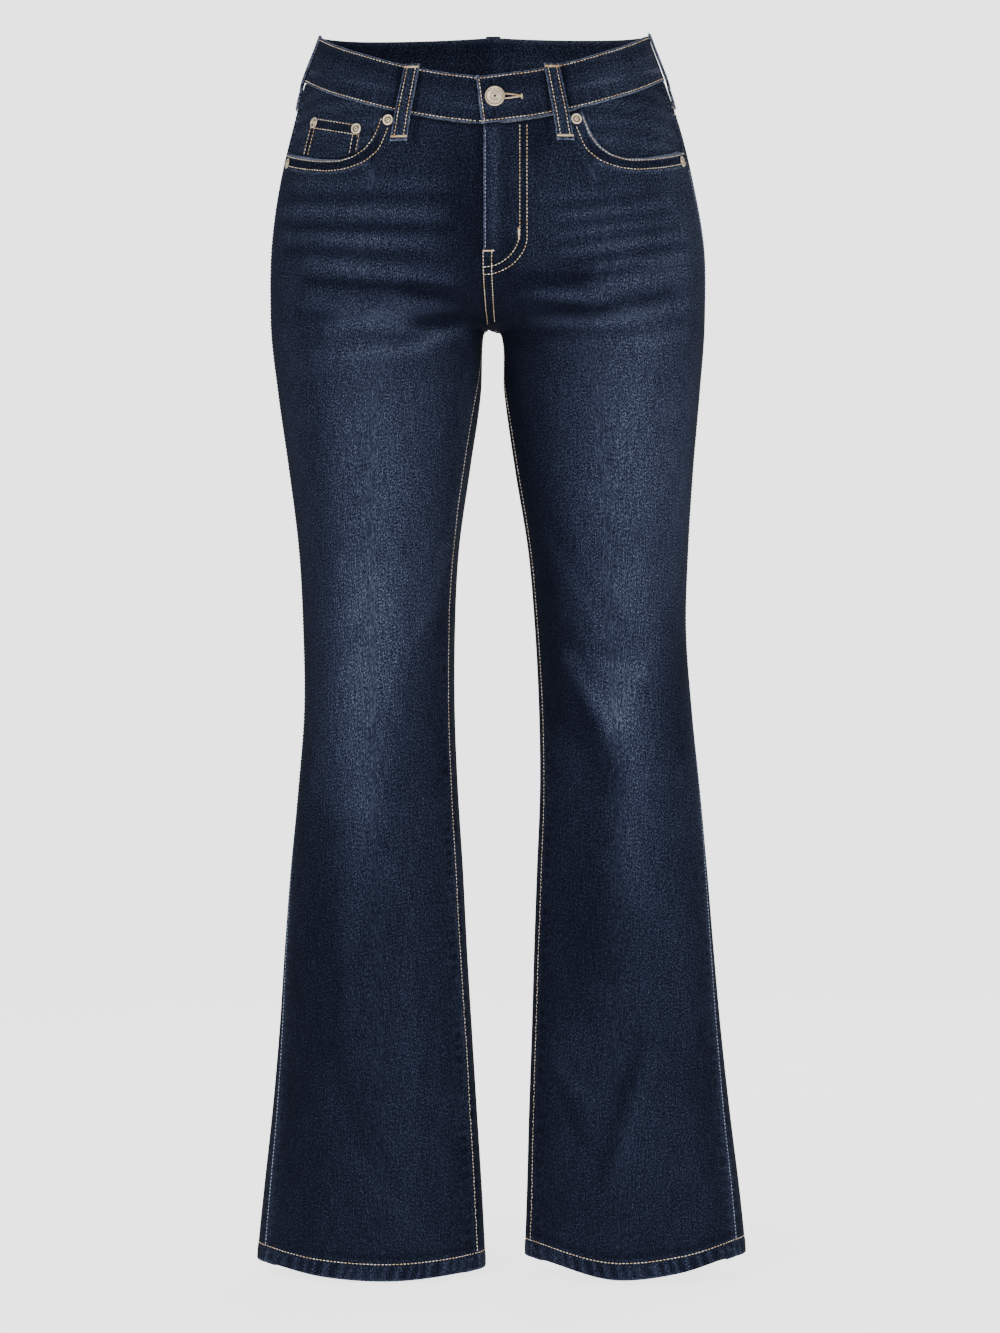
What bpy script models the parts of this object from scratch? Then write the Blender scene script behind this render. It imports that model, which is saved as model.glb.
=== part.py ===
"""Bootcut jeans, worn and hollow: denim walls on one skin, with plain metal trim.

Metres, +Z up. The wearer faces -Y, the wearer's left is +X, and the origin is the
middle of the waist opening, level with the top of the waistband at the sides.

The skin is a stack of rounded sections. Above the crotch each half of the body is an
open curve from the front seam to the back seam, and below it a closed ring round a leg.
A place on the skin is a side, a height and a way round: 0 at the front seam or the
inseam, 0.5 at the outseam, 1 at the back seam or the inseam again.
"""
import math

import bmesh
import bpy
import numpy as np
from mathutils import Vector

# Cloth and seams
DENIM = 0.0012
BAND_CLOTH = 0.0020
BAND_PROUD = 0.0008
HEM_CLOTH = 0.0024
HEM_DEPTH = 0.0146
PATCH_CLOTH = 0.0010
SEAM_GAP = 0.0003
LYING_GAP = 0.0007
SEAM_TUCK = 0.006
FACING_DEPTH = 0.018
COIN_TOP = (-0.0815, -0.0700)
COIN_CLEAR = 0.0018

# The crotch
CROTCH = -0.245
CROTCH_ROUNDING = 0.006
FRONT_CURVE = 0.060
BACK_CURVE = 0.090

# The closed fly
FLY_EDGE = 0.0010
FLY_UNDER = 0.0060
FLY_FLAT = 0.010
FLY_END = 0.024
FLY_NARROWS = (-0.182, -0.197)
FLY_SINKS = (-0.197, -0.222)
BAND_LAP_TOP = 0.0055
BAND_LAP_FOOT = 0.0005
BAND_UNDER = 0.020
BAND_LAP_FLAT = 0.024
BAND_LAP_END = 0.042
BAND_LAP_WAY = 0.045
BAND_AT = -0.060

# Loops and metal
LOOP_WIDTH = 0.0138
LOOP_CLOTH = 0.0016
LOOP_RISE = 0.0008
FRONT_LOOP_WAY = 0.166
FRONT_LOOP_LEAN = -0.004
SIDE_LOOP_WAY = 0.545
LOOP_OVER = 0.0012
LOOP_UNDER = 0.0235
BUTTON_RADIUS = 0.0085
BUTTON_THICK = 0.0022
BUTTON_WAY = 0.028
BUTTON_HEIGHT = -0.061
BUTTON_DOME = 0.0008
RIVET_RADIUS = 0.0045
RIVET_THICK = 0.0014
RIVET_DOME = 0.0006
SCOOP_RIVETS = (("scoop", 0.199, -0.0790), ("side", 0.4625, -0.1075))
COIN_RIVETS = (("coin_inner", 0.268, -0.0850), ("coin_outer", 0.389, -0.0760))

# Back pockets
POCKET_FROM_OUTSEAM = 0.172
POCKET_BOW = 0.0075
POCKET_TOP = -0.102
POCKET_TILT = 0.006
POCKET_DEPTHS = (0.126, 0.142)
POCKET_WIDTHS = (0.116, 0.132)

# How finely the skin is sampled, and the squarest an end of a section may be
SAMPLES = 28
STEP = 0.0006
STEP_WAY = 0.0033
STEEPEST = 0.9995
CREASE_ANGLE = 40
DISC_SIDES = 20

SECTION_COLUMNS = (
    "height", "right_out", "right_in", "left_out", "left_in", "front", "back", "hub",
    "inseam_turn", "outseam_turn", "power",
)
SECTIONS = (
    (0.030, 0.1360, 0.0000, 0.1310, 0.0000, 0.099, 0.101, 0.00, 0, 10, 2.20),
    (0.000, 0.1442, 0.0000, 0.1388, 0.0000, 0.101, 0.104, 0.02, 0, 11, 2.22),
    (-0.036, 0.1572, 0.0000, 0.1520, 0.0000, 0.104, 0.110, 0.08, 0, 12, 2.25),
    (-0.074, 0.1676, 0.0000, 0.1650, 0.0000, 0.107, 0.117, 0.16, 0, 12, 2.28),
    (-0.125, 0.1792, 0.0000, 0.1772, 0.0000, 0.109, 0.124, 0.25, 0, 12, 2.30),
    (-0.177, 0.1858, 0.0000, 0.1858, 0.0000, 0.109, 0.126, 0.34, 0, 11, 2.30),
    (-0.228, 0.1866, 0.0000, 0.1866, 0.0000, 0.107, 0.119, 0.45, 0, 10, 2.28),
    (-0.245, 0.1862, 0.0034, 0.1862, 0.0094, 0.106, 0.114, 0.50, 0, 10, 2.25),
    (-0.300, 0.1803, 0.0062, 0.1820, 0.0140, 0.102, 0.101, 0.50, 20, 8, 2.20),
    (-0.366, 0.1710, 0.0155, 0.1763, 0.0232, 0.096, 0.090, 0.50, 26, 7, 2.16),
    (-0.435, 0.1625, 0.0250, 0.1720, 0.0344, 0.089, 0.081, 0.50, 27, 7, 2.14),
    (-0.504, 0.1588, 0.0284, 0.1702, 0.0404, 0.080, 0.073, 0.50, 27, 8, 2.12),
    (-0.573, 0.1580, 0.0286, 0.1752, 0.0438, 0.072, 0.067, 0.50, 26, 10, 2.12),
    (-0.642, 0.1634, 0.0258, 0.1822, 0.0446, 0.067, 0.065, 0.50, 24, 12, 2.12),
    (-0.710, 0.1700, 0.0215, 0.1883, 0.0420, 0.063, 0.067, 0.50, 22, 14, 2.12),
    (-0.779, 0.1752, 0.0180, 0.1940, 0.0396, 0.061, 0.070, 0.50, 20, 15, 2.12),
    (-0.848, 0.1797, 0.0138, 0.2002, 0.0376, 0.060, 0.072, 0.50, 18, 16, 2.10),
    (-0.917, 0.1858, 0.0095, 0.2078, 0.0352, 0.060, 0.073, 0.50, 17, 17, 2.08),
    (-0.985, 0.1932, 0.0052, 0.2162, 0.0334, 0.060, 0.073, 0.50, 16, 17, 2.06),
    (-1.065, 0.2015, 0.0010, 0.2245, 0.0306, 0.061, 0.073, 0.50, 15, 17, 2.04),
)

# Largest folds: a face is -1 for the front and 1 for the back, and a trough has a
# negative rise. Ends are x and z as seen from the front.
FOLD_COLUMNS = ("face", "start_x", "start_z", "end_x", "end_z", "width", "rise")
FOLDS = (
    (-1, -0.080, -0.212, -0.002, -0.232, 0.0090, -0.0026),
    (-1, -0.056, -0.247, -0.001, -0.236, 0.0080, -0.0022),
    (-1, -0.150, -0.150, -0.040, -0.166, 0.0130, -0.0018),
    (-1, -0.165, -0.205, -0.060, -0.214, 0.0140, 0.0018),
    (-1, -0.160, -0.240, -0.050, -0.262, 0.0150, -0.0016),
    (-1, 0.030, -0.190, 0.150, -0.160, 0.0130, -0.0018),
    (-1, 0.040, -0.212, 0.165, -0.196, 0.0140, 0.0018),
    (-1, 0.020, -0.232, 0.130, -0.222, 0.0120, -0.0020),
    (-1, 0.040, -0.290, 0.165, -0.240, 0.0160, -0.0016),
    (-1, -0.150, -0.600, -0.040, -0.575, 0.0200, 0.0018),
    (-1, 0.060, -0.575, 0.165, -0.640, 0.0180, 0.0020),
    (-1, 0.055, -0.640, 0.160, -0.690, 0.0180, -0.0018),
    (-1, -0.155, -0.655, -0.050, -0.680, 0.0180, -0.0018),
    (1, -0.150, -0.262, -0.020, -0.240, 0.0130, -0.0026),
    (1, 0.020, -0.242, 0.150, -0.268, 0.0130, -0.0026),
    (1, -0.160, -0.300, -0.040, -0.282, 0.0140, -0.0018),
    (1, 0.040, -0.284, 0.160, -0.306, 0.0140, -0.0018),
    (1, -0.145, -0.530, -0.035, -0.555, 0.0150, -0.0024),
    (1, 0.055, -0.560, 0.160, -0.532, 0.0150, -0.0024),
    (1, -0.150, -0.590, -0.040, -0.600, 0.0150, -0.0020),
    (1, 0.055, -0.600, 0.165, -0.588, 0.0150, -0.0020),
)

BAND_COLUMNS = ("way", "top", "seam", "yoke")
BAND = (
    (0.00, -0.0435, -0.0835, -0.100),
    (0.10, -0.0385, -0.0785, -0.100),
    (0.20, -0.0305, -0.0705, -0.100),
    (0.32, -0.0175, -0.0575, -0.085),
    (0.50, 0.0015, -0.0375, -0.067),
    (0.75, 0.0140, -0.0260, -0.074),
    (1.00, 0.0215, -0.0185, -0.087),
)

# The scoop of a front pocket, from its start at the waistband to the outseam.
SCOOP_COLUMNS = ("way", "height")
SCOOP = (
    (0.213, -0.0735),
    (0.221, -0.0870),
    (0.234, -0.0975),
    (0.254, -0.1050),
    (0.284, -0.1095),
    (0.335, -0.1095),
    (0.404, -0.1050),
    (0.500, -0.0970),
)

HEM_COLUMNS = ("way", "right", "left")
HEM = (
    (-0.05, -1.0500, -1.0395),
    (0.00, -1.0510, -1.0400),
    (0.22, -1.0558, -1.0536),
    (0.36, -1.0525, -1.0480),
    (0.50, -1.0450, -1.0375),
    (0.75, -1.0470, -1.0440),
    (1.00, -1.0510, -1.0400),
    (1.05, -1.0512, -1.0405),
)

# Heights of the rows of cloth below the pockets, close together at the crotch.
LEG_ROWS = (
    -0.125, -0.140, -0.155, -0.170, -0.184, -0.198, -0.211, -0.222, -0.231, -0.2375,
    -0.2415, -0.2440, -0.2450, -0.2464, -0.2485, -0.2515, -0.257, -0.266, -0.278,
    -0.292, -0.308, -0.326, -0.346, -0.368, -0.392, -0.418, -0.445, -0.475, -0.507,
    -0.540, -0.572, -0.604, -0.637, -0.672, -0.710, -0.750, -0.792, -0.834, -0.876,
    -0.918, -0.960, -1.000,
)
SPREAD_TOP = 6
SPREAD_BOTTOM = 21
TOP_ROWS = 3
FRONT_WAYS = (
    0.0, 0.020, 0.050, 0.090, 0.130, 0.172, 0.206, 0.214, 0.224, 0.240, 0.256, 0.288,
    0.325, 0.365, 0.402, 0.450, 0.500,
)
BAND_WAYS = (
    0.0, 0.012, 0.026, 0.045, 0.065, 0.085, 0.105, 0.125, 0.160, 0.200, 0.244, 0.289,
    0.333, 0.378, 0.422, 0.467, 0.511, 0.556, 0.600, 0.644, 0.689, 0.733, 0.778, 0.822,
    0.867, 0.911, 0.956, 1.0,
)
FACING_FIRST = 6
COIN_FIRST = 10
COIN_LAST = 15
BACK_COLUMNS = 14
BAND_ROWS = 4
FACING_ROWS = 6


def table_column(columns, rows, name):
    """One named column of a table, as an array."""
    place = columns.index(name)
    return np.array([row[place] for row in rows], dtype=float)


def smooth_value(knots, values, where):
    """Value of the smooth curve through a table's rows."""
    if knots[0] > knots[-1]:
        knots = knots[::-1]
        values = values[::-1]
    slopes = np.gradient(values, knots)
    index = np.clip(np.searchsorted(knots, where) - 1, 0, len(knots) - 2)
    span = knots[index + 1] - knots[index]
    share = np.clip((where - knots[index]) / span, 0.0, 1.0)
    square = share * share
    cube = square * share
    return (
        (2 * cube - 3 * square + 1) * values[index]
        + (cube - 2 * square + share) * span * slopes[index]
        + (3 * square - 2 * cube) * values[index + 1]
        + (cube - square) * span * slopes[index + 1]
    )


def section_value(name, height):
    """A column of the section table at given heights."""
    knots = table_column(SECTION_COLUMNS, SECTIONS, "height")
    return smooth_value(knots, table_column(SECTION_COLUMNS, SECTIONS, name), height)


def band_value(name, way):
    """A line of the waistband or yoke at given ways round."""
    knots = table_column(BAND_COLUMNS, BAND, "way")
    return smooth_value(knots, table_column(BAND_COLUMNS, BAND, name), way)


def hem_height(side, way):
    """Height of a leg's lower edge."""
    knots = table_column(HEM_COLUMNS, HEM, "way")
    name = "left" if side > 0 else "right"
    return smooth_value(knots, table_column(HEM_COLUMNS, HEM, name), way)


def scoop_height(way):
    """Height of a front pocket's opening edge."""
    knots = table_column(SCOOP_COLUMNS, SCOOP, "way")
    return smooth_value(knots, table_column(SCOOP_COLUMNS, SCOOP, "height"), way)


def ease(start, end, value):
    """0 before start, 1 after end and a smooth step between them."""
    share = np.clip((value - start) / (end - start), 0.0, 1.0)
    return share * share * (3 - 2 * share)


def lead_length(side, height, back):
    """Length round the skin from the front or back seam to the outseam."""
    side, height = np.broadcast_arrays(np.asarray(side, float), np.asarray(height, float))
    start = 0.5 if back else 0.0
    shares = np.linspace(start, start + 0.5, SAMPLES)
    points = bare_points(side[..., None], height[..., None], shares)
    return np.linalg.norm(np.diff(points, axis=-2), axis=-1).sum(axis=-1)


def way_behind(side, height, distance):
    """Way round at a distance behind the outseam."""
    return 0.5 + 0.5 * distance / lead_length(side, height, True)


def bare_points(side, height, way):
    """Points of the skin without its folds."""
    side, height, way = np.broadcast_arrays(
        np.asarray(side, float), np.asarray(height, float), np.asarray(way, float)
    )
    above = height > CROTCH
    outside = (way < 0) | (way > 1)
    turned = np.where(way < 0, -way, 2 - way)
    wrapped = way - np.floor(way)
    side = np.where(above & outside, -side, side)
    way = np.where(outside, np.where(above, turned, wrapped), way)

    left = side > 0
    out = np.where(left, section_value("left_out", height), section_value("right_out", height))
    gap = np.where(left, section_value("left_in", height), section_value("right_in", height))
    drop = np.clip((CROTCH - height) / CROTCH_ROUNDING, 0.0, 1.0)
    gap = gap * np.sqrt(1 - (1 - drop) ** 2)
    hub = section_value("hub", height)
    middle = np.where(above, hub * out, 0.5 * (out + gap))
    power = section_value("power", height)
    front = section_value("front", height)
    back = section_value("back", height)
    front_lift = np.clip((height - CROTCH) / FRONT_CURVE, 0.0, 1.0)
    back_lift = np.clip((height - CROTCH) / BACK_CURVE, 0.0, 1.0)
    front_share = np.sqrt(1 - (1 - front_lift) ** 2)
    back_share = np.sqrt(1 - (1 - back_lift) ** 2)
    inseam = np.radians(section_value("inseam_turn", height)) * ease(0.0, 0.02, CROTCH - height)
    outseam = -np.radians(section_value("outseam_turn", height))
    start = np.where(above, -math.pi + np.arctan2(front_share * front, middle), inseam - math.pi)
    end = np.where(above, math.pi - np.arctan2(back_share * back, middle), inseam + math.pi)
    in_front = way <= 0.5
    first = np.where(in_front, start, outseam)
    last = np.where(in_front, outseam, end)
    share = np.where(in_front, 2 * way, 2 * way - 1)

    def flat_place(angle, pick):
        """Place in the section at an angle round its middle."""
        across = np.cos(angle)
        along = np.sin(angle)
        is_back = along > 0
        deep = np.where(is_back, pick(back), pick(front))
        lift = np.minimum(np.where(is_back, pick(back_share), pick(front_share)), STEEPEST)
        sharp = pick(power)
        reach = np.maximum(pick(middle), 1e-4) / (1 - lift ** sharp) ** (1 / sharp)
        inner = np.where(pick(above), reach, pick(middle) - pick(gap))
        wide = np.where(across > 0, pick(out) - pick(middle), inner)
        radius = (np.abs(across / wide) ** sharp + np.abs(along / deep) ** sharp) ** (-1 / sharp)
        return pick(middle) + radius * across, radius * along

    steps = np.linspace(0.0, 1.0, SAMPLES)
    angles = first[..., None] + (last - first)[..., None] * steps
    x, y = flat_place(angles, lambda values: values[..., None])
    lengths = np.hypot(np.diff(x, axis=-1), np.diff(y, axis=-1))
    nothing = np.zeros(lengths.shape[:-1] + (1,))
    reached = np.concatenate([nothing, np.cumsum(lengths, axis=-1)], axis=-1)
    target = share * reached[..., -1]
    index = np.clip((reached < target[..., None]).sum(axis=-1) - 1, 0, SAMPLES - 2)
    low = np.take_along_axis(reached, index[..., None], axis=-1)[..., 0]
    high = np.take_along_axis(reached, index[..., None] + 1, axis=-1)[..., 0]
    position = (index + (target - low) / np.maximum(high - low, 1e-9)) / (SAMPLES - 1)
    x, y = flat_place(first + (last - first) * position, lambda values: values)
    return np.stack([side * x, y, height], axis=-1)


def bare_normals(side, height, way):
    """Outward unit normals of the skin without its folds."""
    down = bare_points(side, height + STEP, way) - bare_points(side, height - STEP, way)
    ahead = bare_points(side, height, way + STEP_WAY) - bare_points(side, height, way - STEP_WAY)
    normals = np.cross(ahead, down) * np.asarray(side, float)[..., None]
    return normals / np.linalg.norm(normals, axis=-1, keepdims=True)


def fold_rise(points, normals):
    """How far the largest folds lift or sink the skin."""
    rise = np.zeros(points.shape[:-1])
    for row in FOLDS:
        fold = dict(zip(FOLD_COLUMNS, row))
        run_x = fold["end_x"] - fold["start_x"]
        run_z = fold["end_z"] - fold["start_z"]
        length = math.hypot(run_x, run_z)
        from_x = points[..., 0] - fold["start_x"]
        from_z = points[..., 2] - fold["start_z"]
        along = (from_x * run_x + from_z * run_z) / length ** 2
        across = (from_z * run_x - from_x * run_z) / length
        taper = np.clip(4 * along * (1 - along), 0.0, 1.0) ** 0.7
        facing = ease(0.1, 0.5, normals[..., 1] * fold["face"])
        rise += fold["rise"] * taper * facing * np.exp(-((across / fold["width"]) ** 2))
    return rise


def skin(side, height, way):
    """Points and outward normals of the folded skin."""
    side, height, way = np.broadcast_arrays(
        np.asarray(side, float), np.asarray(height, float), np.asarray(way, float)
    )
    points = bare_points(side, height, way)
    normals = bare_normals(side, height, way)
    return points + normals * fold_rise(points, normals)[..., None], normals


def material(name, colour, roughness, metallic=0.0):
    """A plain Principled material."""
    made = bpy.data.materials.new(name)
    made.use_nodes = True
    shader = made.node_tree.nodes["Principled BSDF"]
    shader.inputs["Base Color"].default_value = (*colour, 1.0)
    shader.inputs["Roughness"].default_value = roughness
    shader.inputs["Metallic"].default_value = metallic
    return made


def wall(name, side, height, way, outer, thickness, finish, parts):
    """A closed wall of cloth over a grid of places on the skin.

    height and way are arrays of columns by rows. The wall's outer face lies at outer,
    measured out from the skin, and its inner face a thickness further in.
    """
    side = np.broadcast_to(np.asarray(side, float), height.shape)
    points, normals = skin(side, height, way)
    faces = [points + normals * np.broadcast_to(lift, height.shape)[..., None]
             for lift in (outer, outer - thickness)]
    held = (way >= 0) & (way <= 1)
    mesh = bmesh.new()
    columns, rows = height.shape
    bmesh.ops.create_grid(mesh, x_segments=columns - 1, y_segments=rows - 1, size=0.5)
    outside = list(mesh.verts)
    made = bmesh.ops.extrude_face_region(mesh, geom=list(mesh.faces), use_keep_orig=True)
    inside = [item for item in made["geom"] if isinstance(item, bmesh.types.BMVert)]
    for vertices, face_points in zip((outside, inside), faces):
        across = np.maximum(face_points[..., 0] * side, SEAM_GAP / 2)
        face_points[..., 0] = np.where(held, across * side, face_points[..., 0])
        for vertex in vertices:
            column = round((vertex.co.x + 0.5) * (columns - 1))
            row = round((vertex.co.y + 0.5) * (rows - 1))
            vertex.co = Vector(face_points[column, row])
    bmesh.ops.recalc_face_normals(mesh, faces=mesh.faces)
    if mesh.calc_volume(signed=True) < 0:
        bmesh.ops.reverse_faces(mesh, faces=mesh.faces)
    return finished(name, mesh, finish, parts)


def finished(name, mesh, finish, parts):
    """An object from a bmesh, smooth but for its sharp edges."""
    data = bpy.data.meshes.new(name)
    mesh.to_mesh(data)
    mesh.free()
    data.materials.append(finish)
    data.shade_smooth()
    data.set_sharp_from_angle(angle=math.radians(CREASE_ANGLE))
    made = bpy.data.objects.new(name, data)
    parts.objects.link(made)
    return made


def grid_of(columns, rows):
    """Arrays of the columns' and rows' values over a grid."""
    return np.meshgrid(np.asarray(columns, float), np.asarray(rows, float), indexing="ij")


def inset_ways(side, height, way, start, end):
    """Ways round with half a seam gap left at the two ends of a panel."""
    trim = 0.5 * (SEAM_GAP / 2) / lead_length(side, height, start >= 0.5)
    share = (way - start) / (end - start)
    return way + trim * (1 - share) - trim * share


def leg_heights(side, way, inner, top, top_rows):
    """Heights of a leg panel's grid, from its hem to its upper edge.

    way gives the columns, inner is the column nearest the inseam as a way round, and top
    holds each column's upper edge. Rows crowd at the crotch on the inseam and spread
    evenly away from it.
    """
    rows = np.array(LEG_ROWS)
    even = rows.copy()
    span = slice(SPREAD_TOP, SPREAD_BOTTOM + 1)
    even[span] = np.linspace(rows[SPREAD_TOP], rows[SPREAD_BOTTOM], SPREAD_BOTTOM - SPREAD_TOP + 1)
    crowd = (1 - np.clip(2 * np.abs(way - inner), 0.0, 1.0)) ** 2
    middle = even[None, :] + crowd[:, None] * (rows - even)[None, :]
    hem = hem_height(side, way)
    tail = np.stack([hem + HEM_DEPTH + 0.0003, hem + HEM_DEPTH - 0.0003, hem], axis=1)
    shares = np.linspace(0.0, 1.0, top_rows + 1)[:-1]
    head = top[:, None] + (middle[:, :1] - top[:, None]) * shares[None, :]
    return np.concatenate([head, middle, tail], axis=1)


def hem_thickness(side, height, way):
    """Cloth is double in the turned-up hem."""
    hem = hem_height(side, way)
    return np.where(height < hem + HEM_DEPTH, HEM_CLOTH, DENIM)


def make_front(name, side, finish, parts):
    """One front, from the waistband and the pocket's scoop down to the hem.

    Along the fly the wearer's left front lies over an edge of the right one.
    """
    columns = np.array(FRONT_WAYS)
    seam = band_value("seam", columns)
    top = np.where(columns > SCOOP[0][0], scoop_height(columns), seam) - SEAM_GAP / 2
    height = leg_heights(side, columns, 0.0, top, TOP_ROWS)
    bare_way = np.broadcast_to(columns[:, None], height.shape)
    way = inset_ways(side, height, bare_way, 0.0, 0.5)
    length = lead_length(side, height, False)
    open_fly = ease(FLY_NARROWS[1], FLY_NARROWS[0], height)
    reach = FLY_EDGE if side > 0 else -FLY_UNDER
    at_edge = np.clip(1 - bare_way / FRONT_WAYS[1], 0.0, 1.0)
    way = way + 0.5 * reach * open_fly * at_edge / length
    outer = np.zeros(height.shape)
    if side > 0:
        distance = 2 * way * length
        sink = ease(FLY_SINKS[1], FLY_SINKS[0], height)
        outer = (DENIM + LYING_GAP) * (1 - ease(FLY_FLAT, FLY_END, distance)) * sink
    thickness = hem_thickness(side, height, bare_way)
    return wall(name, side, height, way, outer, thickness, finish, parts)


def make_back(name, side, finish, parts):
    """One back, from the yoke seam down to the hem."""
    columns = np.linspace(0.5, 1.0, BACK_COLUMNS)
    top = band_value("yoke", columns) - SEAM_GAP / 2
    height = leg_heights(side, columns, 1.0, top, TOP_ROWS)
    bare_way = np.broadcast_to(columns[:, None], height.shape)
    way = inset_ways(side, height, bare_way, 0.5, 1.0)
    thickness = hem_thickness(side, height, bare_way)
    return wall(name, side, height, way, 0.0, thickness, finish, parts)


def make_strip(name, side, ways, low, high, rows, outer, thickness, finish, parts):
    """A panel between two lines round the skin; ways is one for each column or point."""
    shares = np.linspace(0.0, 1.0, rows)
    height = low[:, None] + (high - low)[:, None] * shares[None, :]
    way = np.broadcast_to(np.atleast_2d(ways.T).T, height.shape)
    outer = np.broadcast_to(np.asarray(outer, float), height.shape)
    return wall(name, side, height, way, outer, thickness, finish, parts)


def make_yoke(name, side, finish, parts):
    """One back yoke, deeper at the centre back than at the outseam."""
    ways = np.linspace(0.5, 1.0, BACK_COLUMNS)
    low = band_value("yoke", ways) + SEAM_GAP / 2
    high = band_value("seam", ways) - SEAM_GAP / 2
    trimmed = inset_ways(side, low, ways, 0.5, 1.0)
    return make_strip(name, side, trimmed, low, high, 5, 0.0, DENIM, finish, parts)


def make_waistband(name, side, finish, parts):
    """Half the waistband; the wearer's left one laps over the right at the front."""
    length = float(lead_length(side, np.array(BAND_AT), False))
    ways = np.array(BAND_WAYS)
    ends = np.full(BAND_ROWS, BAND_UNDER)
    if side > 0:
        ends = np.linspace(BAND_LAP_FOOT, BAND_LAP_TOP, BAND_ROWS)
    at_start = np.clip(1 - ways / BAND_LAP_WAY, 0.0, 1.0)
    way = ways[:, None] - at_start[:, None] * 0.5 * ends[None, :] / length
    way[-1] -= 0.5 * (SEAM_GAP / 2) / length
    low = band_value("seam", np.abs(way[:, 0])) + SEAM_GAP / 2
    high = band_value("top", np.abs(way[:, -1]))
    outer = np.full(way.shape, BAND_PROUD)
    if side > 0:
        raised = 1 - ease(BAND_LAP_FLAT, BAND_LAP_END, 2 * way * length)
        outer = outer + (BAND_CLOTH + LYING_GAP) * raised
    return make_strip(name, side, way, low, high, BAND_ROWS, outer, BAND_CLOTH, finish, parts)


def make_facing(name, side, finish, parts):
    """The facing that shows in a front pocket's scoop, tucked behind its neighbours."""
    ways = np.array(FRONT_WAYS[FACING_FIRST:])
    low = scoop_height(ways) - FACING_DEPTH
    high = band_value("seam", ways) + SEAM_TUCK
    length = float(lead_length(side, np.array(BAND_AT), False))
    ways[-1] += 0.5 * SEAM_TUCK / length
    outer = -(DENIM + LYING_GAP)
    return make_strip(name, side, ways, low, high, FACING_ROWS, outer, DENIM, finish, parts)


def make_coin_pocket(name, side, finish, parts):
    """The small pocket on the wearer's right facing, cut off by the scoop's edge."""
    ways = np.array(FRONT_WAYS[COIN_FIRST:COIN_LAST])
    high = np.interp(ways, (ways[0], ways[-1]), COIN_TOP)
    low = scoop_height(ways) + COIN_CLEAR
    outer = -(DENIM + LYING_GAP) + SEAM_GAP + PATCH_CLOTH
    return make_strip(name, side, ways, low, high, 5, outer, PATCH_CLOTH, finish, parts)


def make_back_pocket(name, side, finish, parts):
    """A plain patch pocket with a pointed foot."""
    across, up = grid_of(np.linspace(-0.5, 0.5, 9), np.linspace(0.0, 1.0, 9))
    depth = np.interp(1 - 2 * np.abs(across), (0, 1), POCKET_DEPTHS)
    height = POCKET_TOP - POCKET_TILT * across - depth * (1 - up)
    width = np.interp(up, (0, 1), POCKET_WIDTHS)
    middle = POCKET_FROM_OUTSEAM + POCKET_BOW * np.sin(math.pi * up)
    way = way_behind(side, height, middle + across * width)
    outer = LYING_GAP + PATCH_CLOTH
    return wall(name, side, height, way, outer, PATCH_CLOTH, finish, parts)


def make_loop(name, side, middle_way, lean, finish, parts):
    """A belt loop from over the waistband's top edge to well under its seam."""
    across, up = grid_of(np.linspace(-0.5, 0.5, 3), np.linspace(0.0, 1.0, 12))
    seam = band_value("seam", np.array(middle_way))
    top = band_value("top", np.array(middle_way))
    height = seam - LOOP_UNDER + (top - seam + LOOP_UNDER + LOOP_OVER) * up
    length = float(lead_length(side, seam, middle_way >= 0.5))
    distance = across * LOOP_WIDTH + lean * (up - 0.5)
    way = middle_way + 0.5 * distance / length
    proud = BAND_PROUD * ease(-0.010, -0.002, height - seam)
    outer = proud + LYING_GAP + LOOP_CLOTH + LOOP_RISE * np.sin(math.pi * up) ** 0.8
    return wall(name, side, height, way, outer, LOOP_CLOTH, finish, parts)


def make_rivet(name, side, height, way, lift, finish, parts):
    """A rivet's head on the cloth."""
    size = (RIVET_RADIUS, RIVET_THICK, RIVET_DOME)
    return make_disc(name, side, height, way, lift, size, finish, parts)


def make_disc(name, side, height, way, lift, size, finish, parts):
    """A button's or rivet's head, set on the cloth along its normal.

    size is its radius, its thickness and the height of its rounded rim.
    """
    radius, thick, dome = size
    point, normal = skin(np.array(side), np.array(height), np.array(way))
    mesh = bmesh.new()
    bmesh.ops.create_cone(
        mesh, cap_ends=True, segments=DISC_SIDES, radius1=radius, radius2=radius, depth=thick
    )
    rim = [edge for edge in mesh.edges if all(vertex.co.z > 0 for vertex in edge.verts)]
    bmesh.ops.bevel(
        mesh, geom=rim, offset=dome, offset_type="OFFSET", segments=2, profile=0.5,
        affect="EDGES", material=-1
    )
    made = finished(name, mesh, finish, parts)
    made.rotation_mode = "QUATERNION"
    made.rotation_quaternion = Vector(normal).to_track_quat("Z", "Y")
    made.location = Vector(point + normal * (lift + thick / 2))
    return made


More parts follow.
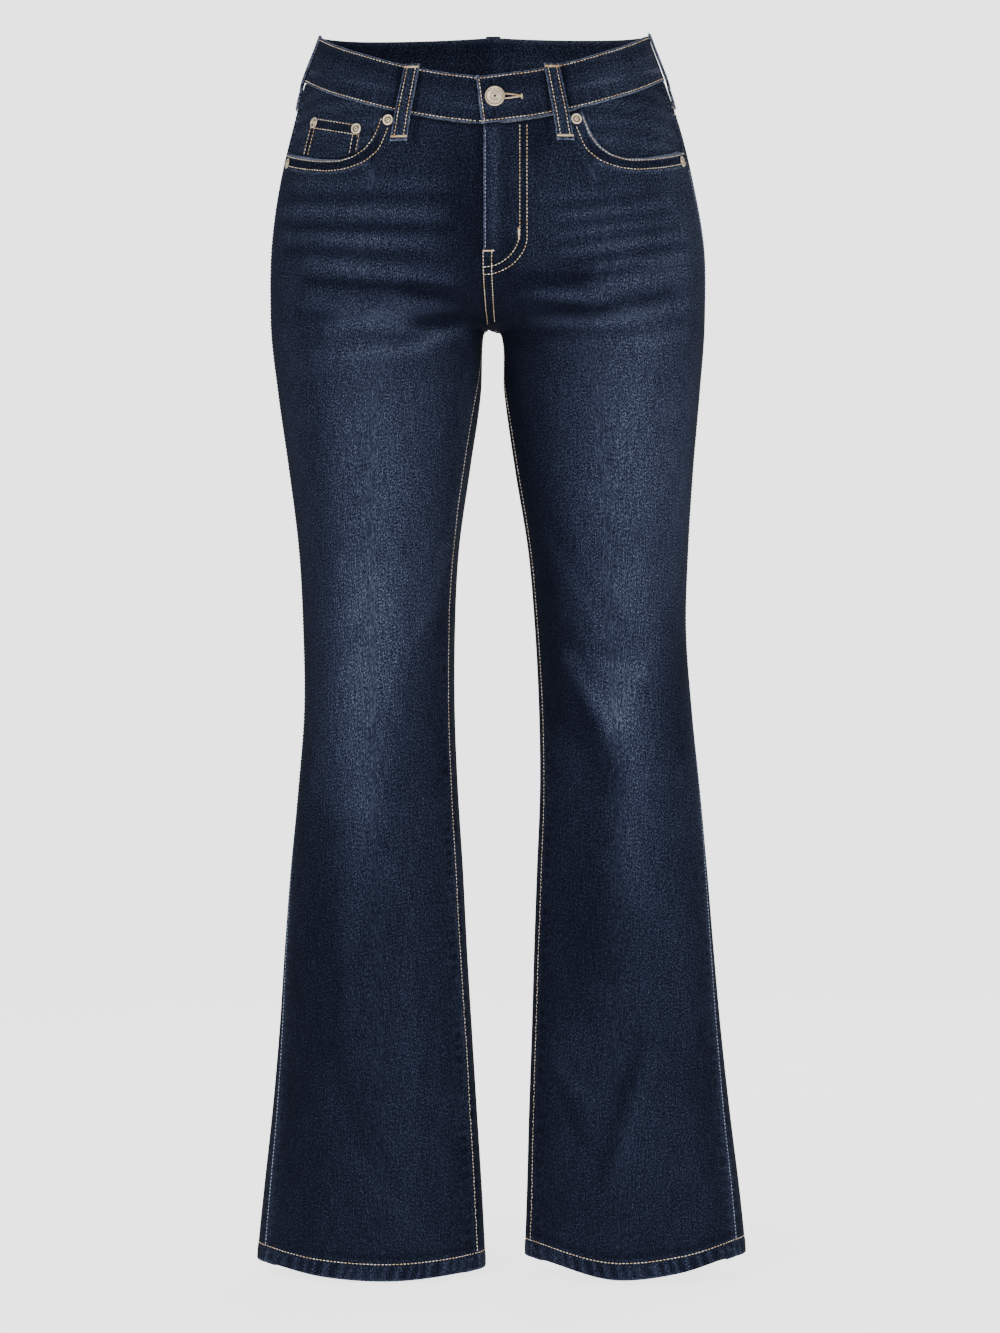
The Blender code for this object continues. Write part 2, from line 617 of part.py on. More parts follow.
def main():
    """Build the jeans."""
    for old in list(bpy.data.objects):
        bpy.data.objects.remove(old)
    parts = bpy.data.collections.new("bootcut_jeans")
    bpy.context.scene.collection.children.link(parts)

    denim = material("indigo_denim", (0.020, 0.030, 0.055), 0.85)
    loop_denim = material("loop_denim", (0.018, 0.026, 0.048), 0.85)
    brass = material("pale_brass", (0.62, 0.54, 0.42), 0.35, 1.0)
    copper = material("pale_copper", (0.60, 0.46, 0.36), 0.35, 1.0)

    for side, word in ((1, "left"), (-1, "right")):
        make_front(f"front_{word}", side, denim, parts)
        make_back(f"back_{word}", side, denim, parts)
        make_yoke(f"yoke_{word}", side, denim, parts)
        make_waistband(f"waistband_{word}", side, denim, parts)
        make_facing(f"pocket_facing_{word}", side, denim, parts)
        make_back_pocket(f"back_pocket_{word}", side, denim, parts)
        make_loop(f"belt_loop_front_{word}", side, FRONT_LOOP_WAY, FRONT_LOOP_LEAN, loop_denim, parts)
        make_loop(f"belt_loop_side_{word}", side, SIDE_LOOP_WAY, 0.0, loop_denim, parts)
        for place, way, height in SCOOP_RIVETS:
            make_rivet(f"rivet_{place}_{word}", side, height, way, SEAM_GAP, copper, parts)
    make_coin_pocket("coin_pocket", -1, denim, parts)
    make_loop("belt_loop_back", 1, 1.0, 0.0, loop_denim, parts)
    button_lift = BAND_PROUD + BAND_CLOTH + LYING_GAP + SEAM_GAP
    button_size = (BUTTON_RADIUS, BUTTON_THICK, BUTTON_DOME)
    make_disc("button", 1, BUTTON_HEIGHT, BUTTON_WAY, button_lift, button_size, brass, parts)
    coin_lift = -(DENIM + LYING_GAP) + PATCH_CLOTH + 2 * SEAM_GAP
    for place, way, height in COIN_RIVETS:
        make_rivet(f"rivet_{place}", -1, height, way, coin_lift, copper, parts)


main()
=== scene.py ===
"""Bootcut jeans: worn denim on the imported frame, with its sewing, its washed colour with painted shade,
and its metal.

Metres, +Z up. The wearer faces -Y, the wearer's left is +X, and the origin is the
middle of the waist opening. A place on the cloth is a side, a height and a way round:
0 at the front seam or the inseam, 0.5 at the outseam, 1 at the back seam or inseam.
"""
import logging
import math
from collections.abc import Callable
from dataclasses import dataclass, field
from enum import Enum

import bmesh
import bpy
import numpy as np
from mathutils import Matrix, Vector


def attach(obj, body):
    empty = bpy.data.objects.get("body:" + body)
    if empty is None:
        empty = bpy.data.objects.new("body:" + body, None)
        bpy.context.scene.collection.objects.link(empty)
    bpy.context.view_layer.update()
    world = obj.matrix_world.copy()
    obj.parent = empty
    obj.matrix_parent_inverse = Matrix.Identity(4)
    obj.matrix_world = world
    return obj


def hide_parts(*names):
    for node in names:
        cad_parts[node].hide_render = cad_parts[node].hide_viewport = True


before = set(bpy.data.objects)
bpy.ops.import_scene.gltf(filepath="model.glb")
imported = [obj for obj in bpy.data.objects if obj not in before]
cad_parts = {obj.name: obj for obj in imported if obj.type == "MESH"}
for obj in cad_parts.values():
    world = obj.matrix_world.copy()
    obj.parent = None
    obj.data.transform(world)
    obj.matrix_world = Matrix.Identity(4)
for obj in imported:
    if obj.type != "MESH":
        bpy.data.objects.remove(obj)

LOG = logging.getLogger("jeans")
Array = np.ndarray
Material = bpy.types.Material
Socket = bpy.types.NodeSocket

# The crotch's height, and over what heights the legs and both curves round in there.
CROTCH = -0.245
CROTCH_ROUNDING = 0.006
FRONT_CURVE = 0.060
BACK_CURVE = 0.090

# How far each front passes the middle at the fly, the heights between which that ends,
# and how far round the front lies double there.
FLY_EDGE = 0.0010
FLY_UNDER = 0.0060
FLY_NARROWS = (-0.182, -0.197)
FLY_SINKS = (-0.197, -0.222)
FLY_LAP = (0.010, 0.024)
FLY_FOOT = -0.189

# How far the waistband's ends pass the middle, where the left one comes down, and the
# height and length by which places round the band are measured.
BAND_LAP_TOP = 0.0055
BAND_LAP_FOOT = 0.0005
BAND_UNDER = 0.020
BAND_LAP = (0.024, 0.042)
BAND_LAP_WAY = 0.045
BAND_AT = -0.060
BAND_GIRTH = 0.195

HEM_DEPTH = 0.0146
LOOP_WAYS = (0.166, 0.545, 1.0)

# How far a panel stops short of a seam above or below it, and of one beside it.
SEAM_GAP = 0.0001
MIDDLE_GAP = 0.00006

# How far two rows of thread lie from the seam beside them.
TWIN_ROWS = (0.0018, 0.0078)

# The wash by depth below the waist.
WASH_DEPTHS = (0.08, 0.20, 0.30, 0.55, 0.72, 0.80, 1.06)
WASH_FADES = (0.0, -0.02, 0.0, -0.03, -0.05, -0.12, -0.15)

# Places at which the length round the skin is measured, for each quarter.
SAMPLES = 18

# The outline at each height: how far it reaches out and in on each side, its depth in
# front and behind, the middle it is drawn round, the turns of the inseam and outseam
# in degrees, and how square it is.
SECTION_COLUMNS = (
    "height", "right_out", "right_in", "left_out", "left_in", "front", "back", "hub",
    "inseam_turn", "outseam_turn", "power",
)
SECTIONS = (
    (0.030, 0.1360, 0.0000, 0.1310, 0.0000, 0.099, 0.101, 0.00, 0, 10, 2.20),
    (0.000, 0.1442, 0.0000, 0.1388, 0.0000, 0.101, 0.104, 0.02, 0, 11, 2.22),
    (-0.036, 0.1572, 0.0000, 0.1520, 0.0000, 0.104, 0.110, 0.08, 0, 12, 2.25),
    (-0.074, 0.1676, 0.0000, 0.1650, 0.0000, 0.107, 0.117, 0.16, 0, 12, 2.28),
    (-0.125, 0.1792, 0.0000, 0.1772, 0.0000, 0.109, 0.124, 0.25, 0, 12, 2.30),
    (-0.177, 0.1858, 0.0000, 0.1858, 0.0000, 0.109, 0.126, 0.34, 0, 11, 2.30),
    (-0.228, 0.1866, 0.0000, 0.1866, 0.0000, 0.107, 0.119, 0.45, 0, 10, 2.28),
    (-0.245, 0.1862, 0.0034, 0.1862, 0.0094, 0.106, 0.114, 0.50, 0, 10, 2.25),
    (-0.300, 0.1803, 0.0062, 0.1820, 0.0140, 0.102, 0.101, 0.50, 20, 8, 2.20),
    (-0.366, 0.1710, 0.0155, 0.1763, 0.0232, 0.096, 0.090, 0.50, 26, 7, 2.16),
    (-0.435, 0.1625, 0.0250, 0.1720, 0.0344, 0.089, 0.081, 0.50, 27, 7, 2.14),
    (-0.504, 0.1588, 0.0284, 0.1702, 0.0404, 0.080, 0.073, 0.50, 27, 8, 2.12),
    (-0.573, 0.1580, 0.0286, 0.1752, 0.0438, 0.072, 0.067, 0.50, 26, 10, 2.12),
    (-0.642, 0.1634, 0.0258, 0.1822, 0.0446, 0.067, 0.065, 0.50, 24, 12, 2.12),
    (-0.710, 0.1700, 0.0215, 0.1883, 0.0420, 0.063, 0.067, 0.50, 22, 14, 2.12),
    (-0.779, 0.1752, 0.0180, 0.1940, 0.0396, 0.061, 0.070, 0.50, 20, 15, 2.12),
    (-0.848, 0.1797, 0.0138, 0.2002, 0.0376, 0.060, 0.072, 0.50, 18, 16, 2.10),
    (-0.917, 0.1858, 0.0095, 0.2078, 0.0352, 0.060, 0.073, 0.50, 17, 17, 2.08),
    (-0.985, 0.1932, 0.0052, 0.2162, 0.0334, 0.060, 0.073, 0.50, 16, 17, 2.06),
    (-1.065, 0.2015, 0.0010, 0.2245, 0.0306, 0.061, 0.073, 0.50, 15, 17, 2.04),
)

# Main folds of the cloth: front (-1) or back (1), their ends, half width and rise.
FOLD_COLUMNS = ("face", "start_x", "start_z", "end_x", "end_z", "width", "rise")
FOLDS = (
    (-1, -0.080, -0.212, -0.002, -0.232, 0.0090, -0.0026),
    (-1, -0.056, -0.247, -0.001, -0.236, 0.0080, -0.0022),
    (-1, -0.150, -0.150, -0.040, -0.166, 0.0130, -0.0018),
    (-1, -0.165, -0.205, -0.060, -0.214, 0.0140, 0.0018),
    (-1, -0.160, -0.240, -0.050, -0.262, 0.0150, -0.0016),
    (-1, 0.030, -0.190, 0.150, -0.160, 0.0130, -0.0018),
    (-1, 0.040, -0.212, 0.165, -0.196, 0.0140, 0.0018),
    (-1, 0.020, -0.232, 0.130, -0.222, 0.0120, -0.0020),
    (-1, 0.040, -0.290, 0.165, -0.240, 0.0160, -0.0016),
    (-1, -0.150, -0.600, -0.040, -0.575, 0.0200, 0.0018),
    (-1, 0.060, -0.575, 0.165, -0.640, 0.0180, 0.0020),
    (-1, 0.055, -0.640, 0.160, -0.690, 0.0180, -0.0018),
    (-1, -0.155, -0.655, -0.050, -0.680, 0.0180, -0.0018),
    (1, -0.150, -0.262, -0.020, -0.240, 0.0130, -0.0026),
    (1, 0.020, -0.242, 0.150, -0.268, 0.0130, -0.0026),
    (1, -0.160, -0.300, -0.040, -0.282, 0.0140, -0.0018),
    (1, 0.040, -0.284, 0.160, -0.306, 0.0140, -0.0018),
    (1, -0.145, -0.530, -0.035, -0.555, 0.0150, -0.0024),
    (1, 0.055, -0.560, 0.160, -0.532, 0.0150, -0.0024),
    (1, -0.150, -0.590, -0.040, -0.600, 0.0150, -0.0020),
    (1, 0.055, -0.600, 0.165, -0.588, 0.0150, -0.0020),
)

# Heights of the waistband's two edges and of the yoke's lower edge, by way round.
BAND_COLUMNS = ("way", "top", "seam", "yoke")
BAND = (
    (0.00, -0.0435, -0.0835, -0.100),
    (0.10, -0.0385, -0.0785, -0.100),
    (0.20, -0.0305, -0.0705, -0.100),
    (0.32, -0.0175, -0.0575, -0.085),
    (0.50, 0.0015, -0.0375, -0.067),
    (0.75, 0.0140, -0.0260, -0.074),
    (1.00, 0.0215, -0.0185, -0.087),
)

# Height of a front pocket's opening, by way round.
SCOOP_COLUMNS = ("way", "height")
SCOOP = (
    (0.213, -0.0735),
    (0.221, -0.0870),
    (0.234, -0.0975),
    (0.254, -0.1050),
    (0.284, -0.1095),
    (0.335, -0.1095),
    (0.404, -0.1050),
    (0.500, -0.0970),
)

# The lower of the two rows of thread below that opening.
SCOOP_ROW = (
    (0.1965, -0.0850), (0.207, -0.0995), (0.227, -0.1100), (0.2575, -0.1165),
    (0.302, -0.1195), (0.355, -0.1175), (0.455, -0.1100), (0.494, -0.1070),
)

# Height of each hem, by way round.
HEM_COLUMNS = ("way", "right", "left")
HEM = (
    (-0.05, -1.0500, -1.0395),
    (0.00, -1.0510, -1.0400),
    (0.22, -1.0558, -1.0536),
    (0.36, -1.0525, -1.0480),
    (0.50, -1.0450, -1.0375),
    (0.75, -1.0470, -1.0440),
    (1.00, -1.0510, -1.0400),
    (1.05, -1.0512, -1.0405),
)

# Heights of a leg's rows at the inseam, crowded at the crotch.
LEG_ROWS = (
    -0.125, -0.140, -0.155, -0.170, -0.184, -0.198, -0.211, -0.222, -0.231, -0.2375,
    -0.2415, -0.2440, -0.2450, -0.2464, -0.2485, -0.2515, -0.257, -0.266, -0.278,
    -0.292, -0.308, -0.326, -0.346, -0.368, -0.392, -0.418, -0.445, -0.475, -0.507,
    -0.540, -0.572, -0.604, -0.637, -0.672, -0.710, -0.750, -0.792, -0.834, -0.876,
    -0.918, -0.960, -1.000,
)

# Strokes of a rubbing block on the worn cloth, and of painted shade: where they start and end,
# their width, how much they fade the cloth, negative where they darken it, and how many
# millimetres they lift it. A stroke that darkens and sinks the cloth keeps the dye dark in its
# crease and paints shade there too, and the dark strokes down the legs' sides, the inner left
# thigh and the crotch paint shade over the darker dye there. They were placed one by one, and the
# fades of the whiskers were then multiplied by 1.45. Those in front are in points of the picture,
# across and down; those on the back are in millimetres, given for one side and mirrored.
PICTURE_POINT = 0.00086
PICTURE_MIDDLE = 488
PICTURE_WAIST = 44
MILLIMETRE = 0.001
STROKE_COLUMNS = ("start_x", "start_y", "end_x", "end_y", "width", "fade", "rise")
FRONT_STROKES = (
    (372, 370, 372, 560, 60, 0.30, 0.0),
    (370, 590, 366, 690, 42, 0.36, 0.0),
    (362, 700, 360, 790, 30, 0.26, 0.0),
    (362, 800, 358, 860, 20, 0.12, 0.0),
    (360, 810, 368, 980, 36, 0.08, 0.0),
    (410, 1000, 415, 1180, 36, 0.07, 0.0),
    (398, 905, 386, 945, 16, -0.10, 0.0),
    # Painted shade down the outer side of the wearer's right shin, over its darker dye.
    (316, 830, 312, 1225, 30, -0.07, 0.0),
    (328, 830, 332, 1030, 20, -0.12, 0.0),
    (458, 850, 466, 1130, 12, 0.14, 0.0),
    # Painted shade down the outer side of the wearer's right thigh, over its darker dye.
    (312, 340, 316, 660, 22, -0.12, 0.0),
    (476, 345, 462, 520, 12, 0.20, 0.0),
    (486, 332, 478, 420, 9, 0.16, 0.0),
    (505, 372, 520, 520, 7, -0.08, 0.0),
    (556, 540, 590, 612, 12, -0.12, 0.0),
    (462, 420, 452, 640, 16, -0.03, 0.0),
    (440, 360, 430, 640, 26, 0.07, 0.0),
    (634, 350, 628, 560, 56, 0.36, 0.0),
    # Painted shade down the inner side of the wearer's left thigh, over its darker dye.
    (512, 340, 548, 700, 34, -0.24, 0.0),
    # Painted shade in the crotch, over its darker dye.
    (498, 255, 500, 318, 16, -0.22, 0.0),
    (470, 290, 494, 316, 13, -0.30, 0.0),
    (384, 124, 392, 138, 7, 0.12, 0.0),
    (570, 122, 586, 140, 9, 0.14, 0.0),
    (672, 120, 694, 300, 22, 0.22, 0.0),
    (532, 112, 534, 152, 12, -0.16, 0.0),
    (312, 150, 345, 182, 16, -0.08, 0.0),
    (325, 334, 470, 330, 9, 0.06, 0.0),
    (634, 590, 634, 690, 36, 0.24, 0.0),
    (616, 690, 636, 768, 25, 0.36, 0.0),
    (556, 640, 586, 720, 20, -0.13, 0.0),
    (586, 715, 608, 776, 15, -0.14, 0.0),
    (630, 790, 632, 880, 22, 0.16, 0.0),
    (692, 690, 700, 840, 12, 0.12, 0.0),
    # Painted shade down the inner side of the wearer's left shin, over its darker dye.
    (576, 780, 578, 1010, 22, -0.12, 0.0),
    (668, 820, 670, 1000, 36, 0.06, 0.0),
    (640, 1010, 672, 1200, 52, 0.06, 0.0),
    # Dark sunken strokes at the left knee: the dye stays dark in these creases, and shade is painted there
    # too.
    (600, 800, 600, 960, 17, -0.10, -0.5),
    (570, 705, 616, 784, 16, -0.14, -1.0),
    (690, 350, 684, 640, 20, 0.10, 0.0),
    (674, 620, 676, 740, 14, -0.05, 0.0),
    (340, 190, 380, 300, 60, 0.10, 0.0),
    (612, 190, 640, 300, 58, 0.15, 0.0),
    (462, 150, 470, 290, 22, -0.20, 0.0),
    # Whiskers across the wearer's right thigh: light raised strokes, and dark sunken ones whose darkness is
    # the creases' darker dye with painted shade.
    (300, 184, 440, 182, 7, 0.14, 0.4),
    (290, 198, 445, 197, 6, -0.12, -0.4),
    (285, 210, 440, 213, 7, 0.22, 0.6),
    (285, 226, 450, 228, 6, -0.17, -0.6),
    (290, 236, 425, 241, 7, 0.22, 0.6),
    (290, 250, 440, 258, 6, -0.17, -0.6),
    (310, 262, 400, 272, 9, 0.22, 0.7),
    (400, 272, 462, 284, 7, 0.12, 0.7),
    (310, 281, 410, 287, 6, -0.29, -0.8),
    (410, 287, 480, 300, 8, -0.49, -1.2),
    (305, 302, 380, 308, 7, 0.09, 0.5),
    (385, 306, 450, 300, 7, 0.09, 0.6),
    (300, 312, 330, 318, 6, -0.10, -0.4),
    (330, 324, 400, 318, 10, 0.19, 0.8),
    (418, 322, 484, 318, 7, -0.38, -1.2),
    (345, 332, 420, 338, 6, -0.12, -0.4),
    (420, 342, 462, 328, 7, 0.23, 0.6),
    (320, 354, 430, 348, 7, 0.14, 0.3),
    # Whiskers across the wearer's left thigh, made the same way, with painted shade in the sunken strokes.
    (540, 198, 640, 190, 7, 0.12, 0.4),
    (560, 206, 655, 196, 6, -0.13, -0.4),
    (560, 216, 665, 203, 7, 0.19, 0.5),
    (560, 225, 670, 212, 5, -0.14, -0.5),
    (560, 234, 672, 219, 7, 0.14, 0.6),
    (560, 243, 676, 227, 5, -0.14, -0.5),
    (565, 252, 678, 235, 7, 0.22, 0.6),
    (560, 262, 680, 246, 5, -0.13, -0.4),
    (600, 268, 684, 256, 7, 0.20, 0.6),
    (505, 282, 580, 278, 10, -0.35, -1.1),
    (580, 278, 640, 266, 6, -0.23, -0.7),
    (600, 286, 680, 272, 9, 0.16, 0.7),
    (540, 294, 602, 299, 7, 0.26, 0.6),
    (508, 308, 600, 308, 9, -0.38, -0.9),
    (500, 318, 540, 340, 16, -0.16, 0.0),
    (600, 308, 668, 294, 6, -0.20, -0.6),
    (520, 316, 602, 322, 7, 0.12, 0.7),
    (602, 322, 684, 304, 8, 0.19, 0.7),
    (545, 333, 640, 330, 6, -0.17, -0.5),
    (625, 346, 680, 334, 8, 0.14, 0.5),
    # Small creases; their dark sunken strokes also paint shade.
    (456, 522, 440, 560, 6, 0.08, 0.5),
    (450, 548, 415, 640, 7, 0.10, 0.6),
    (458, 590, 430, 650, 6, -0.08, -0.5),
    (400, 640, 386, 700, 7, 0.06, 0.4),
    (352, 632, 372, 640, 8, -0.10, -0.5),
    (352, 720, 372, 735, 8, -0.10, -0.5),
    (545, 532, 602, 632, 8, 0.16, 0.8),
    (540, 575, 580, 640, 7, -0.08, -0.6),
    (556, 600, 600, 660, 6, 0.08, 0.5),
    (566, 655, 642, 672, 7, 0.10, 0.8),
    (566, 655, 612, 725, 9, 0.26, 0.8),
    (655, 640, 622, 700, 7, 0.08, 0.5),
    (640, 800, 662, 834, 8, 0.07, 0.6),
    (470, 330, 300, 372, 8, 0.04, 0.4),
    (346, 900, 352, 1090, 9, 0.05, 0.6),
    (378, 890, 360, 960, 8, -0.06, -0.6),
    (330, 1040, 372, 1130, 12, -0.05, -0.8),
    (352, 1150, 420, 1235, 12, 0.06, 0.9),
    (350, 1120, 395, 1190, 10, -0.05, -0.6),
    (410, 900, 412, 1100, 9, 0.04, 0.4),
    (425, 960, 430, 1200, 8, -0.03, -0.4),
    (640, 1040, 598, 1180, 8, -0.12, -1.0),
    (656, 1050, 616, 1190, 8, 0.08, 0.8),
    (562, 1080, 580, 1140, 7, -0.09, -0.7),
    (556, 1060, 596, 1110, 7, 0.07, 0.6),
    (676, 900, 690, 1180, 9, 0.03, 0.4),
)
BACK_STROKES = (
    (88, -215, 96, -250, 42, 0.22, 0.0),
    (96, -330, 100, -470, 40, 0.22, 0.0),
    (104, -560, 106, -680, 34, -0.05, 0.0),
    (108, -760, 114, -900, 34, 0.08, 0.0),
    # Creases under the seat and behind the knees; their dark sunken strokes also paint shade.
    (28, -262, 86, -284, 6, 0.14, 0.9),
    (20, -272, 90, -296, 6, -0.14, -1.2),
    (60, -296, 150, -280, 6, 0.10, 0.7),
    (36, -300, 110, -318, 6, 0.10, 0.7),
    (40, -312, 120, -332, 6, -0.10, -0.8),
    (110, -255, 168, -240, 6, -0.07, -0.6),
    (110, -246, 168, -230, 6, 0.07, 0.6),
    (50, -545, 150, -562, 7, 0.12, 1.0),
    (48, -556, 152, -575, 6, -0.12, -1.1),
    (52, -590, 110, -572, 7, 0.10, 0.8),
    (60, -604, 150, -590, 7, 0.12, 0.9),
    (60, -616, 150, -603, 6, -0.12, -1.0),
    (58, -632, 120, -640, 7, 0.10, 0.8),
    (70, -520, 140, -508, 7, 0.08, 0.7),
    (72, -530, 140, -520, 6, -0.08, -0.7),
    (80, -800, 100, -960, 9, 0.05, 0.6),
    (128, -840, 120, -1000, 9, -0.05, -0.6),
    (40, -120, 20, -180, 6, 0.06, 0.4),
    (150, -120, 160, -180, 7, 0.05, 0.4),
)


class Side(Enum):
    """Which half of the body a piece is on."""

    LEFT = 1
    RIGHT = -1

    @property
    def word(self) -> str:
        """The side as it stands in node names."""
        return self.name.lower()


def column(columns: tuple, rows: tuple, name: str) -> Array:
    """One named column of a table, as an array.

    Args:
        columns: names of the table's columns.
        rows: the table.
        name: the column wanted.

    Returns:
        The column's values.
    """
    place = columns.index(name)
    return np.array([row[place] for row in rows], dtype=float)


def smooth_value(knots: Array, values: Array, where: Array) -> Array:
    """Value of the smooth curve through a table's rows.

    Args:
        knots: places of the rows, rising or falling.
        values: values at the rows.
        where: places to read.

    Returns:
        The values there.
    """
    if knots[0] > knots[-1]:
        knots, values = knots[::-1], values[::-1]
    slopes = np.gradient(values, knots)
    index = np.clip(np.searchsorted(knots, where) - 1, 0, len(knots) - 2)
    span = knots[index + 1] - knots[index]
    share = np.clip((where - knots[index]) / span, 0.0, 1.0)
    square, cube = share * share, share ** 3
    return (
        (2 * cube - 3 * square + 1) * values[index]
        + (cube - 2 * square + share) * span * slopes[index]
        + (3 * square - 2 * cube) * values[index + 1]
        + (cube - square) * span * slopes[index + 1]
    )


def ease(start: float, end: float, value: Array) -> Array:
    """0 before start, 1 after end and a smooth step between them."""
    share = np.clip((value - start) / (end - start), 0.0, 1.0)
    return share * share * (3 - 2 * share)


def section_value(name: str, height: Array) -> Array:
    """A column of the section table at given heights."""
    knots = column(SECTION_COLUMNS, SECTIONS, "height")
    return smooth_value(knots, column(SECTION_COLUMNS, SECTIONS, name), height)


def band_value(name: str, way: Array) -> Array:
    """A line of the waistband or yoke at given ways round."""
    knots = column(BAND_COLUMNS, BAND, "way")
    return smooth_value(knots, column(BAND_COLUMNS, BAND, name), way)


def hem_height(side: Side, way: Array) -> Array:
    """Height of a leg's lower edge."""
    knots = column(HEM_COLUMNS, HEM, "way")
    return smooth_value(knots, column(HEM_COLUMNS, HEM, side.word), way)


def scoop_height(way: Array, rows: tuple = SCOOP) -> Array:
    """Height of a front pocket's opening edge, or of the row of thread below it."""
    knots = column(SCOOP_COLUMNS, rows, "way")
    return smooth_value(knots, column(SCOOP_COLUMNS, rows, "height"), way)


@dataclass(frozen=True)
class Eye:
    """Where the viewer of the picture stands."""

    distance: float = 3.4
    turn: float = math.radians(2.4)
    middle: tuple = (0.0103, -0.5353)
    seen_height: float = 1.14638

    @property
    def right(self) -> Array:
        """Direction across the picture."""
        return np.array([math.cos(self.turn), math.sin(self.turn), 0.0])

    @property
    def forward(self) -> Array:
        """Direction into the picture."""
        return np.array([-math.sin(self.turn), math.cos(self.turn), 0.0])

    @property
    def place(self) -> Array:
        """The viewer's place."""
        middle = self.right * self.middle[0] + np.array([0, 0, self.middle[1]])
        return middle - self.forward * self.distance

    def seen(self, points: Array) -> tuple[Array, Array]:
        """Where points lie across and up, as the viewer sees them.

        Args:
            points: the places.

        Returns:
            Metres across from the fly and up from the waist.
        """
        away = points - self.place
        depth = away @ self.forward
        across = self.distance * (away @ self.right) / depth + self.middle[0]
        up = self.distance * away[..., 2] / depth + self.middle[1]
        return across, up


EYE = Eye()


def stroke_sums(rows: tuple, x: Array, y: Array) -> tuple[Array, Array]:
    """Fade, painted shade and lift from a table of strokes.

    Args:
        rows: the strokes.
        x: places across, in the table's own units.
        y: places up or down, in the same units.

    Returns:
        The summed fade and, in metres, the lift.
    """
    fade, rise = np.zeros(x.shape), np.zeros(x.shape)
    for row in rows:
        stroke = dict(zip(STROKE_COLUMNS, row))
        run_x = stroke["end_x"] - stroke["start_x"]
        run_y = stroke["end_y"] - stroke["start_y"]
        from_x, from_y = x - stroke["start_x"], y - stroke["start_y"]
        along = np.clip((from_x * run_x + from_y * run_y) / (run_x ** 2 + run_y ** 2), 0.0, 1.0)
        square = (from_x - along * run_x) ** 2 + (from_y - along * run_y) ** 2
        strength = np.exp(-square / stroke["width"] ** 2)
        strength *= 0.55 + 0.45 * np.sin(math.pi * np.clip(along, 0.02, 0.98)) ** 0.6
        fade += stroke["fade"] * strength
        rise += stroke["rise"] * MILLIMETRE * strength
    return fade, rise


